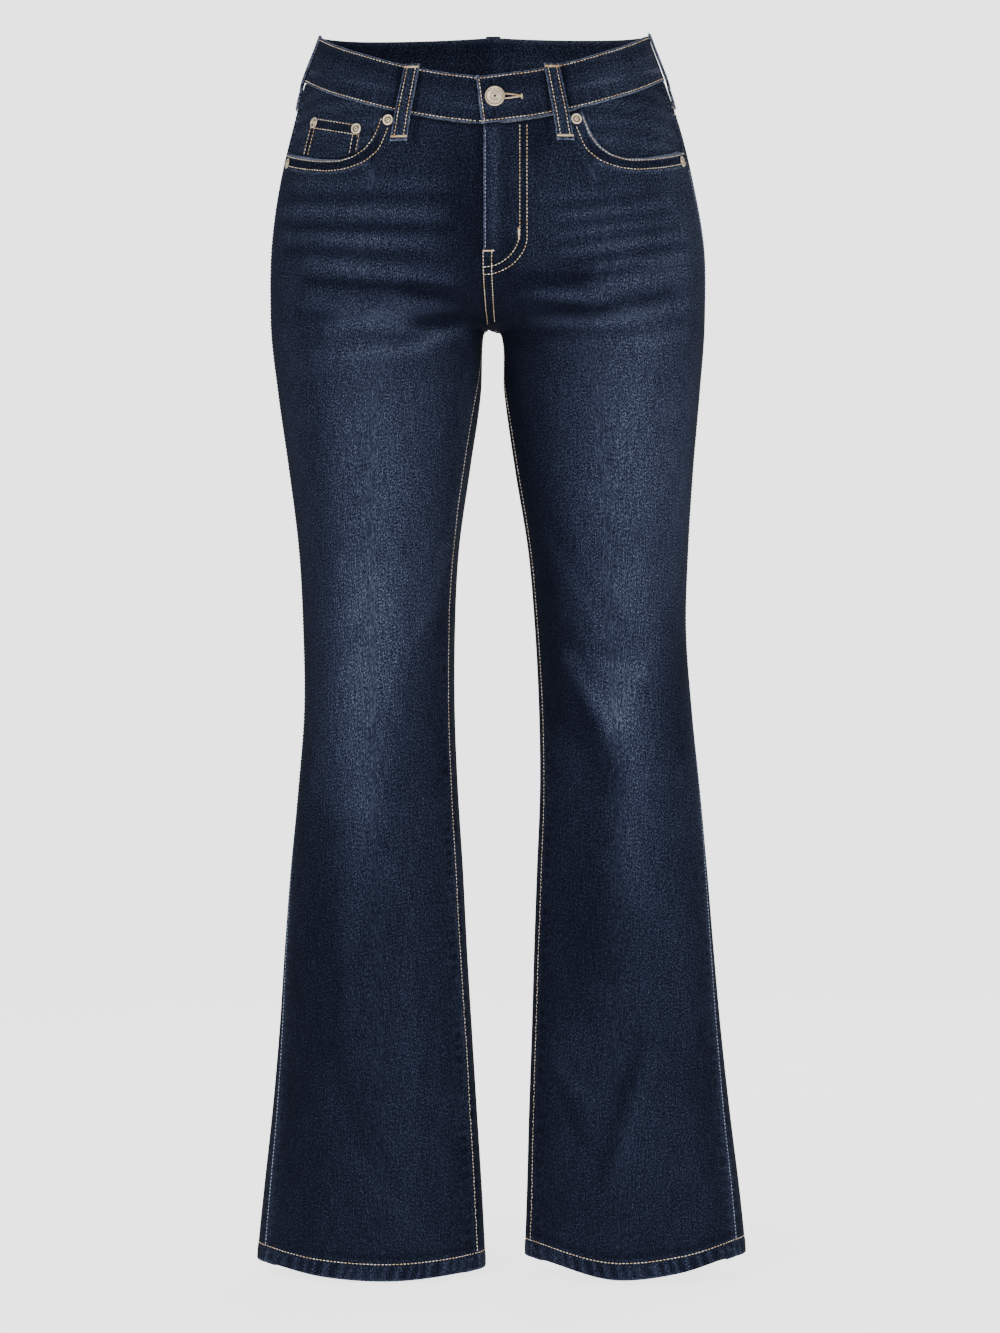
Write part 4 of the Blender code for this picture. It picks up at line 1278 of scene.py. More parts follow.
    def lift(self, height: Array, way: Array) -> Array:
        """How far the cloth's face lies out from the skin."""
        first, last, top, foot = self.edges(height, way)
        inner, outer = (last, first) if self.back else (first, last)
        by_inner, by_outer, hem = self.gathers(height, way)
        rise = -0.0007 * by_inner - 0.0006 * by_outer - 0.00045 * hem
        rise = rise + rounded(outer, 0.0024, 0.0008) + rounded(inner, 0.0016, 0.0006)
        rise = rise + rounded(top, 0.0012, 0.0006) + rounded(foot, 0.0012, 0.0010)
        rise = rise - 0.00035 * bell(foot, HEM_DEPTH, 0.0010)
        rise = rise + 0.0003 * bell(foot, 0.008, 0.005)
        if not self.back:
            scoop = ease(SCOOP[0][0] - 0.01, SCOOP[0][0] + 0.005, way)
            strip = scoop * within(top, (0.0012, 0.003), (0.0075, 0.010))
            along = 2 * way * SKIN.girth(self.side, False, height)
            rise = rise + 0.0003 * strip * (1 - 0.8 * pucker(along, 0.7, 0.0052))
        if self.side is Side.LEFT and not self.back:
            from_fly = 2 * SKIN.girth(self.side, False, height) * way
            sink = ease(FLY_SINKS[1], FLY_SINKS[0], height)
            rise = rise + 0.0019 * (1 - ease(*FLY_LAP, from_fly)) * sink
        return rise

    def wash(self, height: Array, way: Array) -> tuple[Array, Array]:
        """Extra fading, painted shade and edge wear at places on the cloth."""
        first, last, top, foot = self.edges(height, way)
        inner, outer = (last, first) if self.back else (first, last)
        by_inner, by_outer, hem = self.gathers(height, way)
        legs = ease(-0.235, -0.26, height)
        low = ease(-0.45, -0.85, height)
        fade = np.interp(-height, WASH_DEPTHS, WASH_FADES)
        # The legs' sides are darker: partly their less faded dye, partly painted shade where the legs turn
        # away from the light, set for each leg apart.
        outer_dye_and_shade, inner_dye_and_shade = (0.16, 0.15) if self.side is Side.LEFT else (0.26, 0.03)
        fade = fade - outer_dye_and_shade * bell(outer, 0.0, 0.032) * ease(-0.16, -0.30, height) * (1 - 0.6 * low)
        fade = fade - inner_dye_and_shade * bell(inner, 0.0, 0.026) * legs * (1 - 0.5 * low)
        fade = fade - 0.30 * by_inner - 0.26 * by_outer
        fade = fade + 0.10 * bell(inner, 0.006, 0.005) * legs * (1 - by_inner)
        fade = fade + 0.16 * bell(outer, 0.005, 0.006) * (0.3 + 0.7 * low) * (1 - by_outer)
        in_hem = 1 - ease(0.0125, HEM_DEPTH, foot)
        # Above the hem, the darkening of the gathers' dents is painted shade, and the dark line 19.5 mm up
        # is a painted shadow above the hem.
        fade = fade + in_hem * (0.24 - 0.70 * hem) - 0.34 * hem * (1 - in_hem)
        fade = fade + 0.16 * bell(foot, 0.0172, 0.0010) - 0.16 * bell(foot, 0.0195, 0.0022)
        wear = 0.24 * bell(outer, 0.0006, 0.0010) + 0.26 * low * bell(outer, 0.0040, 0.0008)
        wear = wear + 0.12 * bell(inner, 0.0004, 0.0010) * legs + 0.25 * bell(foot, 0.0, 0.0012)
        if self.back:
            fade = fade + 0.05 * bell(height, -0.18, 0.09)
            return fade, wear + 0.25 * bell(top, 0.0, 0.0012)
        scoop = ease(SCOOP[0][0] - 0.006, SCOOP[0][0] + 0.004, way)
        along = 2 * way * SKIN.girth(self.side, False, height)
        # Painted shadow on the front just below the waistband's lower edge.
        fade = fade - 0.22 * bell(band_value("seam", way) - height, 0.0018, 0.0016) * (1 - scoop)
        # Painted shadow on the front beside the front belt loop's foot.
        beside = np.abs(along - 2 * LOOP_WAYS[0] * SKIN.girth(self.side, False, height) + 0.003)
        fade = fade - 0.20 * bell(beside, 0.0088, 0.0022) * ease(-0.104, -0.098, height)
        wear = wear + scoop * (1.0 * bell(top, 0.0002, 0.0015) + 0.25 * bell(top, 0.0110, 0.0009))
        strip = scoop * within(top, (0.002, 0.003), (0.0075, 0.009))
        fade = fade - 0.22 * strip * (0.4 + pucker(along, 0.7, 0.0052))
        fade = fade + 0.10 * scoop * bell(top, 0.0115, 0.0025)
        if self.side is Side.LEFT:
            fly = ease(-0.205, -0.185, height)
            wear = wear + 0.60 * fly * bell(first, 0.0004, 0.0011)
            fade = fade + fly * (0.22 * bell(along, 0.0095, 0.0050) - 0.06 * bell(along, 0.021, 0.005))
            below_fly = ease(-0.192, -0.205, height) * ease(-0.249, CROTCH, height)
            below_fly = below_fly * (1 - ease(0.006, 0.010, along))
            fade = fade - below_fly * (0.10 + 0.14 * pucker(height, 2.0, 0.0050))
            between = bell(along, 0.0338, 0.0026) * ease(-0.200, -0.188, height)
            fade = fade - between * (0.08 + 0.10 * pucker(height, 1.0, 0.0052))
        else:
            # Painted shadow on the right front along the middle, beside the fly's lapped edge, down to the
            # crotch.
            fade = fade - 0.16 * ease(CROTCH, -0.23, height) * bell(along, 0.0, 0.006)
        return fade, wear


@dataclass
class Strip(Cloth):
    """A panel between two lines round the skin."""

    start: float = 0.5
    end: float = 1.0
    columns: int = 90
    rows: int = 24
    edge: float = 0.0006

    def low(self, way: Array) -> Array:
        """Height of the lower edge."""
        raise NotImplementedError

    def high(self, way: Array) -> Array:
        """Height of the upper edge."""
        raise NotImplementedError

    def places(self) -> tuple[Array, Array]:
        """Heights and ways of the grid, as columns by rows.

        Returns:
            The heights and the ways.
        """
        ways = self.start + (self.end - self.start) * crowded(self.columns, 0.12)
        share = crowded(self.rows, 0.28)
        low, high = self.low(ways), self.high(ways)
        height = low[:, None] + (high - low)[:, None] * share[None, :]
        return height, np.broadcast_to(ways[:, None], height.shape).copy()

    def lines(self, height: Array, way: Array) -> tuple[Array, Array, Array]:
        """Distances from the lower and upper edges and from the nearer end."""
        girth = SKIN.girth(self.side, self.start >= 0.5, height)
        ends = 2 * girth * np.minimum(way - self.start, self.end - way)
        return height - self.low(way), self.high(way) - height, ends

    def lift(self, height: Array, way: Array) -> Array:
        """How far the cloth's face lies out from the skin."""
        foot, top, ends = self.lines(height, way)
        rise = rounded(foot, 2 * self.edge, self.edge) + rounded(top, 2 * self.edge, self.edge)
        return rise + rounded(ends, 2 * self.edge, self.edge)


@dataclass
class Yoke(Strip):
    """A back yoke, deeper at the centre back than at the outseam."""

    flat: tuple = (0.23, 0.075)
    area: float = 0.0115
    rows: int = 30
    base_fade: float = 0.31

    def low(self, way: Array) -> Array:
        """Height of the lower edge."""
        return band_value("yoke", way) + SEAM_GAP

    def high(self, way: Array) -> Array:
        """Height of the upper edge."""
        return band_value("seam", way) - SEAM_GAP

    def wash(self, height: Array, way: Array) -> tuple[Array, Array]:
        """Extra fading and edge wear at places on the cloth."""
        foot, _, ends = self.lines(height, way)
        fade = -0.18 * pucker(0.5 * way, 0.9, 0.012) * bell(foot, 0.006, 0.003)
        return fade, 0.35 * bell(foot, 0.0, 0.0012) + 0.2 * bell(ends, 0.0, 0.001)


@dataclass
class Waistband(Strip):
    """Half the waistband; the wearer's left one laps over the right at the front."""

    flat: tuple = (0.42, 0.042)
    area: float = 0.0166
    start: float = 0.0
    columns: int = 222
    thickness: float = 0.0020
    base_fade: float = 0.27
    plain_inside: bool = True

    @property
    def girth(self) -> float:
        """Length round the band from the front to the outseam."""
        return float(SKIN.girth(self.side, False, np.array(BAND_AT)))

    def places(self) -> tuple[Array, Array]:
        """Heights and ways of the grid, as columns by rows.

        Returns:
            The heights and the ways.
        """
        at_lap = np.linspace(0.0, BAND_LAP_WAY, 25)
        ways = np.concatenate([at_lap, np.linspace(BAND_LAP_WAY, 1.0, self.columns - 23)[1:]])
        share = crowded(self.rows, 0.28)
        ends = lap_end(share) if self.side is Side.LEFT else np.full(share.shape, BAND_UNDER)
        at_start = np.clip(1 - ways / BAND_LAP_WAY, 0.0, 1.0)
        way = ways[:, None] - at_start[:, None] * 0.5 * ends[None, :] / self.girth
        low, high = self.low(way[:, 0]), self.high(way[:, -1])
        way[-1] = 1.0 - 0.5 * MIDDLE_GAP / self.girth
        height = low[:, None] + (high - low)[:, None] * share[None, :]
        return height, way

    def low(self, way: Array) -> Array:
        """Height of the lower edge."""
        return band_value("seam", np.abs(way)) + SEAM_GAP

    def high(self, way: Array) -> Array:
        """Height of the upper edge."""
        return band_value("top", np.abs(way))

    def end_distance(self, height: Array, way: Array) -> Array:
        """Distance from the band's front end."""
        share = np.clip((height - self.low(way)) / (self.high(way) - self.low(way)), 0.0, 1.0)
        return 2 * self.girth * way + (lap_end(share) if self.side is Side.LEFT else BAND_UNDER)

    def lift(self, height: Array, way: Array) -> Array:
        """How far the cloth's face lies out from the skin."""
        foot, top, _ = self.lines(height, way)
        rise = 0.0008 + rounded(foot, 0.0014, 0.0007) + rounded(top, 0.0016, 0.0009)
        rise = rise - 0.00022 * bell(foot, 0.0022, 0.0008) - 0.00022 * bell(top, 0.0024, 0.0008)
        along = 2 * self.girth * way
        gathers = pucker(along, 0.5 * self.side.value, 0.0085)
        rise = rise - 0.00030 * gathers * bell(foot, 0.0062, 0.0032)
        rise = rise - 0.00016 * gathers * bell(top, 0.006, 0.003)
        rise = rise + 0.0003 * np.sin(along * 61 + 0.6) * bell(foot, 0.020, 0.012)
        if self.side is Side.LEFT:
            rise = rise + 0.0027 * (1 - ease(*BAND_LAP, along))
            rise = rise + rounded(self.end_distance(height, way), 0.0014, 0.0008)
        return rise

    def wash(self, height: Array, way: Array) -> tuple[Array, Array]:
        """Extra fading, painted shade and edge wear at places on the cloth."""
        foot, top, _ = self.lines(height, way)
        along = 2 * self.girth * way
        gathers = pucker(along, 0.5 * self.side.value, 0.0085)
        fade = -0.14 * gathers * bell(foot, 0.006, 0.003)
        outward = ease(0.06, 0.13, along) * (1.0 if self.side is Side.LEFT else 0.3)
        streak = bell(foot, 0.0125 + 0.004 * np.sin(along * 21), 0.0022)
        streak = streak * (0.55 + 0.45 * np.sin(along * 70 + 1.0))
        fade = fade + (0.20 + 0.20 * outward) * streak + 0.20 * outward
        fade = fade + 0.12 * bell(foot, 0.022, 0.0022) * outward * (0.5 + 0.5 * np.sin(along * 43))
        fade = fade - 0.12 * bell(foot, 0.031, 0.005)
        # Painted shadow on the band beside each belt loop.
        for middle in LOOP_WAYS:
            fade = fade - 0.24 * bell(np.abs(along - 2 * self.girth * middle), 0.0088, 0.0020)
        wear = 0.70 * bell(top, 0.0, 0.0015) + 0.60 * bell(foot, 0.0, 0.0013)
        if self.side is Side.LEFT:
            wear = wear + 0.70 * bell(self.end_distance(height, way), 0.0006, 0.0016)
        else:
            # Painted shadow on the right band where the left band laps over it.
            fade = fade - 0.30 * bell(along, -0.004, 0.008)
        return fade, wear


@dataclass
class Facing(Strip):
    """The facing that shows in a front pocket's scoop, tucked behind its neighbours."""

    flat: tuple = (0.16, 0.08)
    area: float = 0.0092
    held: str = "laid"
    start: float = 0.206
    end: float = 0.5138
    base_fade: float = 0.34
    inner_step: int = 1
    columns: int = 60

    def low(self, way: Array) -> Array:
        """Height of the lower edge."""
        return scoop_height(np.minimum(way, 0.5)) - 0.018

    def high(self, way: Array) -> Array:
        """Height of the upper edge."""
        return band_value("seam", way) + 0.006

    def lift(self, height: Array, way: Array) -> Array:
        """How far the cloth's face lies out from the skin."""
        return np.full(height.shape, -0.0019)

    def wash(self, height: Array, way: Array) -> tuple[Array, Array]:
        """Extra fading, painted shade and edge wear at places on the cloth."""
        above = height - scoop_height(np.minimum(way, 0.5))
        wave = np.sin(2 * math.pi * (height / 0.016 + 9 * (way - 0.3) ** 2 + 0.2))
        streak = 0.10 * wave * ease(0.0, 0.01, above)
        # The facing darkens over its last 6 mm above the scoop: painted shadow of the front's edge that
        # stands over it.
        return streak - 0.20 * (1 - ease(0.0, 0.006, above)) + 0.03, np.zeros(height.shape)


@dataclass
class CoinPocket(Strip):
    """The small pocket on the wearer's right facing, cut off by the scoop's edge."""

    flat: tuple = (0.075, 0.045)
    area: float = 0.0021
    held: str = "laid"
    start: float = 0.256
    end: float = 0.402
    thickness: float = 0.0010
    base_fade: float = 0.30
    inner_step: int = 1
    columns: int = 44
    rows: int = 30

    def low(self, way: Array) -> Array:
        """Height of the lower edge."""
        return scoop_height(way) + 0.0018

    def high(self, way: Array) -> Array:
        """Height of the upper edge."""
        return np.interp(way, (self.start, self.end), (-0.0815, -0.0700))

    def lift(self, height: Array, way: Array) -> Array:
        """How far the cloth's face lies out from the skin."""
        _, top, ends = self.lines(height, way)
        rise = rounded(top, 0.0010, 0.0005) + rounded(ends, 0.0010, 0.0005)
        return rise - 0.0006 + 0.0002 * bell(top, 0.005, 0.003)

    def wash(self, height: Array, way: Array) -> tuple[Array, Array]:
        """Extra fading and edge wear at places on the cloth."""
        _, top, ends = self.lines(height, way)
        band = within(top, (0.002, 0.003), (0.008, 0.0095))
        sides = within(ends, (0.002, 0.003), (0.007, 0.0085))
        fade = -0.14 * np.maximum(band, sides) + 0.08 * bell(top, 0.0115, 0.002)
        return fade, 0.34 * bell(top, 0.0002, 0.0010) + 0.26 * bell(ends, 0.0002, 0.0010)


@dataclass
class BackPocket(Cloth):
    """A plain patch pocket with a pointed foot."""

    flat: tuple = (0.135, 0.145)
    area: float = 0.0166
    held: str = "laid"
    back: bool = True
    from_outseam: float = 0.172
    bow: float = 0.0075
    top: float = -0.102
    tilt: float = 0.006
    depths: tuple = (0.126, 0.142)
    widths: tuple = (0.116, 0.132)
    thickness: float = 0.0010
    count: int = 60

    def outline(self, across: Array, up: Array) -> tuple[Array, Array]:
        """Heights and ways of places given across and up the pocket.

        Args:
            across: from -0.5 to 0.5 across.
            up: from 0 at the foot to 1 at the opening.

        Returns:
            The heights and the ways.
        """
        depth = np.interp(1 - 2 * np.abs(across), (0, 1), self.depths)
        height = self.top - self.tilt * across - depth * (1 - up)
        width = np.interp(up, (0, 1), self.widths)
        girth = SKIN.girth(self.side, True, height)
        middle = self.from_outseam + self.bow * np.sin(math.pi * up)
        return height, 0.5 + 0.5 * (middle + across * width) / girth

    def places(self) -> tuple[Array, Array]:
        """Heights and ways of the grid, as columns by rows.

        Returns:
            The heights and the ways.
        """
        share = crowded(self.count, 0.24)
        across, up = np.meshgrid(share - 0.5, share, indexing="ij")
        return self.outline(across, up)

    def inset(self, height: Array, way: Array) -> tuple[Array, Array, Array]:
        """Distances from the pocket's opening, foot and sides.

        Args:
            height: heights of the places.
            way: ways round of the places.

        Returns:
            The three distances.
        """
        girth = SKIN.girth(self.side, True, height)
        up = np.clip((height - (self.top - self.depths[1])) / self.depths[1], 0, 1)
        from_middle = 2 * girth * (way - 0.5) - self.from_outseam - self.bow * np.sin(math.pi * up)
        width = np.interp(up, (0, 1), self.widths)
        across = np.clip(from_middle / width, -0.5, 0.5)
        opening = self.top - self.tilt * across - height
        depth = np.interp(1 - 2 * np.abs(across), (0, 1), self.depths)
        foot = (depth - opening) * 0.96
        return opening, foot, width / 2 - np.abs(from_middle)

    def lift(self, height: Array, way: Array) -> Array:
        """How far the cloth's face lies out from the skin."""
        opening, foot, sides = self.inset(height, way)
        rise = 0.0017 + rounded(opening, 0.0012, 0.0006)
        rise = rise + rounded(np.minimum(foot, sides), 0.0014, 0.0008)
        gathers = pucker(height * 1.1, 0.8, 0.0090) * bell(np.minimum(sides, foot), 0.0105, 0.003)
        swell = ease(0.0, 0.02, opening) * bell(opening, 0.03, 0.03) * ease(0.006, 0.03, sides)
        return rise - 0.0002 * gathers + 0.0006 * swell

    def wash(self, height: Array, way: Array) -> tuple[Array, Array]:
        """Extra fading and edge wear at places on the cloth."""
        opening, foot, sides = self.inset(height, way)
        rim = np.minimum(foot, sides)
        gathers = pucker(height * 1.1, 0.8, 0.0090) * bell(rim, 0.0105, 0.003)
        fade = 0.16 * bell(rim, 0.045, 0.030) - 0.18 * gathers - 0.12 * bell(rim, 0.005, 0.003)
        fade = fade + 0.10 * bell(opening, 0.008, 0.004)
        return fade, 0.40 * bell(opening, 0.0, 0.0013) + 0.36 * bell(rim, 0.0, 0.0013)


@dataclass
class Loop(Cloth):
    """A belt loop over the waistband, sewn down at both ends."""

    flat: tuple = (0.0138, 0.068)
    area: float = 0.0009
    held: str = "laid"
    middle_way: float = LOOP_WAYS[0]
    lean: float = 0.0
    width: float = 0.0138
    thickness: float = 0.0016
    plain_inside: bool = True
    inner_step: int = 1
    base_fade: float = 0.36
    over: float = 0.0012
    under: float = 0.0235
    slack: float = 0.0008
    length: float = 0.065

    def span(self) -> tuple[float, float, float]:
        """Height of the band's seam at the loop, the height it takes up, and the girth there."""
        seam, top = (float(band_value(line, self.middle_way)) for line in ("seam", "top"))
        girth = float(SKIN.girth(self.side, self.middle_way >= 0.5, seam))
        return seam, top - seam + self.under + self.over, girth

    def outline(self, across: Array, up: Array) -> tuple[Array, Array]:
        """Heights and ways of places given across and up the loop.

        Args:
            across: metres from its middle line.
            up: from 0 at the foot to 1 at the top.

        Returns:
            The heights and the ways.
        """
        seam, tall, girth = self.span()
        way = self.middle_way + 0.5 * (across + self.lean * (up - 0.5)) / girth
        return seam - self.under + tall * up, way

    def place_in(self, height: Array, way: Array) -> tuple[Array, Array]:
        """Where places lie across the loop and up it."""
        seam, tall, girth = self.span()
        up = (height - seam + self.under) / tall
        return 2 * girth * (way - self.middle_way) - self.lean * (up - 0.5), up

    def places(self) -> tuple[Array, Array]:
        """Heights and ways of the grid, as columns by rows.

        Returns:
            The heights and the ways.
        """
        half = np.array([0.25, 0.45, 0.62, 0.8, 0.93, 1.0])
        across = self.width / 2 * np.concatenate([-half[::-1], [0.0], half])
        return self.outline(*np.meshgrid(across, crowded(54, 0.20), indexing="ij"))

    def lift(self, height: Array, way: Array) -> Array:
        """How far the cloth's face lies out from the skin."""
        across, up = self.place_in(height, way)
        side = self.width / 2 - np.abs(across)
        rise = 0.0023 + 0.0008 * ease(-0.010, -0.002, height - self.span()[0])
        rise = rise + self.slack * np.sin(math.pi * np.clip(up, 0, 1)) ** 0.8
        rise = rise + rounded(side, 0.0010, 0.0007) - 0.00025 * bell(side, 0.003, 0.0006)
        ends = np.minimum(up, 1 - up) * self.length
        rise = rise + rounded(ends, 0.0012, 0.0008) - 0.0004 * bell(ends, 0.0034, 0.0012)
        return rise + 0.00025 * np.sin(height * 620 + 1.0) * bell(side, 0.006, 0.002)

    def wash(self, height: Array, way: Array) -> tuple[Array, Array]:
        """Extra fading and edge wear at places on the cloth."""
        across, up = self.place_in(height, way)
        side = self.width / 2 - np.abs(across)
        ends = np.minimum(up, 1 - up) * self.length
        fade = 0.08 * bell(side, 0.006, 0.0018) - 0.16 * bell(side, 0.003, 0.0012)
        return fade, 0.60 * bell(side, 0.0, 0.0012) + 0.50 * bell(ends, 0.0, 0.0015)


class Stitch(Enum):
    """How a row of thread is laid."""

    RUNNING = "along the row"
    SATIN = "across the row, close together"


@dataclass
class Sewing:
    """Rows of raised thread on the cloth, gathered in one piece."""

    name: str
    finish: Material
    length: float = 0.0024
    pitch: float = 0.0031
    thick: float = 0.00038
    mesh: bmesh.types.BMesh = field(default_factory=bmesh.new)
    count: int = 0

    def __post_init__(self) -> None:
        """Model one stitch, to be laid along the rows."""
        shape = bmesh.new()
        bmesh.ops.create_uvsphere(shape, u_segments=6, v_segments=4, radius=1.0,
                                  matrix=Matrix.Rotation(math.pi / 2, 4, "Y"))
        shape.verts.index_update()
        self.shape = np.array([tuple(vert.co) for vert in shape.verts])
        self.shape_faces = [[vert.index for vert in face.verts] for face in shape.faces]
        shape.free()

    def row(self, cloth: Cloth, height: Array, way: Array, kind: Stitch = Stitch.RUNNING,
            width: float = 0.0020, pitch: float | None = None) -> None:
        """Sew a row along a line on a cloth.

        Args:
            cloth: what it is sewn through.
            height: heights of the line's points.
            way: ways round of the line's points.
            kind: how the thread is laid.
            width: length of a satin stitch.
            pitch: length from one stitch to the next.
        """
        height, way = np.broadcast_arrays(np.asarray(height, float), np.asarray(way, float))
        face = cloth.surface(height, way, self.thick * 0.45)
        steps = np.linalg.norm(np.diff(face.points, axis=0), axis=-1)
        reached = np.concatenate([[0.0], np.cumsum(steps)])
        pitch = pitch or (self.pitch if kind is Stitch.RUNNING else 0.00066)
        number = max(1, int(reached[-1] / pitch))
        gap = reached[-1] / number
        middles = (np.arange(number) + 0.5) * gap
        centres = self.read(face.points, reached, middles)
        tangents = self.unit(self.read(face.points, reached, middles + 0.0005)
                             - self.read(face.points, reached, middles - 0.0005))
        normals = self.unit(self.read(face.normals, reached, middles))
        across = self.unit(np.cross(normals, tangents))
        tangents = np.cross(across, normals)
        lean = 0.06 * np.sin((self.count + np.arange(number)) * 2.4)[:, None]
        self.count += number
        if kind is Stitch.RUNNING:
            long, wide = self.unit(tangents + across * lean), across
            size = min(self.length / self.pitch, 0.88) * gap
        else:
            long, wide, size = self.unit(across + tangents * lean), tangents, width
        parts = zip((long, wide, normals), (size / 2, self.thick, self.thick * 0.9), range(3))
        points = sum(part[:, None, :] * scale * self.shape[None, :, axis:axis + 1]
                     for part, scale, axis in parts)
        for stitch in points + centres[:, None, :]:
            verts = [self.mesh.verts.new(point) for point in stitch]
            for corners in self.shape_faces:
                self.mesh.faces.new([verts[corner] for corner in corners])

    @staticmethod
    def unit(values: Array) -> Array:
        """Vectors brought to length 1."""
        return values / np.linalg.norm(values, axis=-1, keepdims=True)

    @staticmethod
    def read(values: Array, reached: Array, where: Array) -> Array:
        """Values along a line at lengths."""
        return np.stack([np.interp(where, reached, values[:, axis]) for axis in range(3)], axis=-1)

    def build(self) -> bpy.types.Object:
        """Make the piece of thread.

        Returns:
            The piece.
        """
        bmesh.ops.recalc_face_normals(self.mesh, faces=self.mesh.faces)
        piece = finished(self.name, self.mesh, [self.finish], 80.0)
        return ride_as(piece)


@dataclass
class Stud:
    """A turned metal head, set on the cloth along its normal."""

    name: str
    finish: Material
    slot: str
    profile: tuple
    height: float
    way: float
    steps: int = 40

    def build(self, cloth: Cloth, lift: float) -> bpy.types.Object:
        """Turn the head and set it in place.

        Args:
            cloth: what it is fixed to.
            lift: its foot's distance out from the skin.

        Returns:
            The head.
        """
        height, way = np.array(self.height), np.array(self.way)
        skin = SKIN.folded(cloth.side, height, way)
        mesh = bmesh.new()
        tarnish = mesh.verts.layers.float.new("tarnish")
        chain = [mesh.verts.new((radius, 0.0, rise)) for radius, rise, _ in self.profile]
        for vert, (_, _, dull) in zip(chain, self.profile):
            vert[tarnish] = dull
        edges = [mesh.edges.new(pair) for pair in zip(chain, chain[1:])]
        bmesh.ops.spin(mesh, geom=chain + edges, cent=(0, 0, 0), axis=(0, 0, 1), angle=2 * math.pi,
                       steps=self.steps, use_merge=True, use_duplicate=False)
        bmesh.ops.remove_doubles(mesh, verts=mesh.verts, dist=0.00001)
        bmesh.ops.recalc_face_normals(mesh, faces=mesh.faces)
        turn = Vector(skin.normals).to_track_quat("Z", "Y").to_matrix().to_4x4()
        place = Matrix.Translation(Vector(skin.points + skin.normals * lift)) @ turn
        bmesh.ops.transform(mesh, matrix=place, verts=mesh.verts)
        piece = finished(self.name, mesh, [self.finish], 50.0)
        return ride_as(piece, (self.name.removesuffix("_head"),))


BUTTON_PROFILE = (
    (0.0, 0.0, 1.0), (0.0076, 0.0, 1.0), (0.0084, 0.0004, 0.9), (0.0086, 0.0010, 0.4), (0.0085, 0.0016, 0.1),
    (0.0081, 0.0022, 0.0), (0.0076, 0.0024, 0.0), (0.0071, 0.0021, 0.2), (0.0067, 0.0016, 0.6),
    (0.0060, 0.0016, 0.0), (0.0046, 0.0018, 0.0), (0.0040, 0.0021, 0.0), (0.0035, 0.0018, 0.4),
    (0.0020, 0.0019, 0.0), (0.0012, 0.0021, 0.1), (0.0008, 0.0018, 0.8), (0.0006, 0.0006, 1.0),
    (0.0, 0.0005, 1.0),
)
RIVET_PROFILE = (
    (0.0, 0.0, 1.0), (0.0040, 0.0, 1.0), (0.0045, 0.0003, 0.9), (0.0046, 0.0007, 0.4), (0.0043, 0.0011, 0.0),
    (0.0037, 0.0013, 0.0), (0.0031, 0.0011, 0.2), (0.0026, 0.0005, 1.0), (0.0021, 0.0005, 1.0),
    (0.0017, 0.0010, 0.1), (0.0011, 0.0013, 0.0), (0.0006, 0.0010, 0.5), (0.0004, 0.0004, 1.0),
    (0.0, 0.0003, 1.0),
)


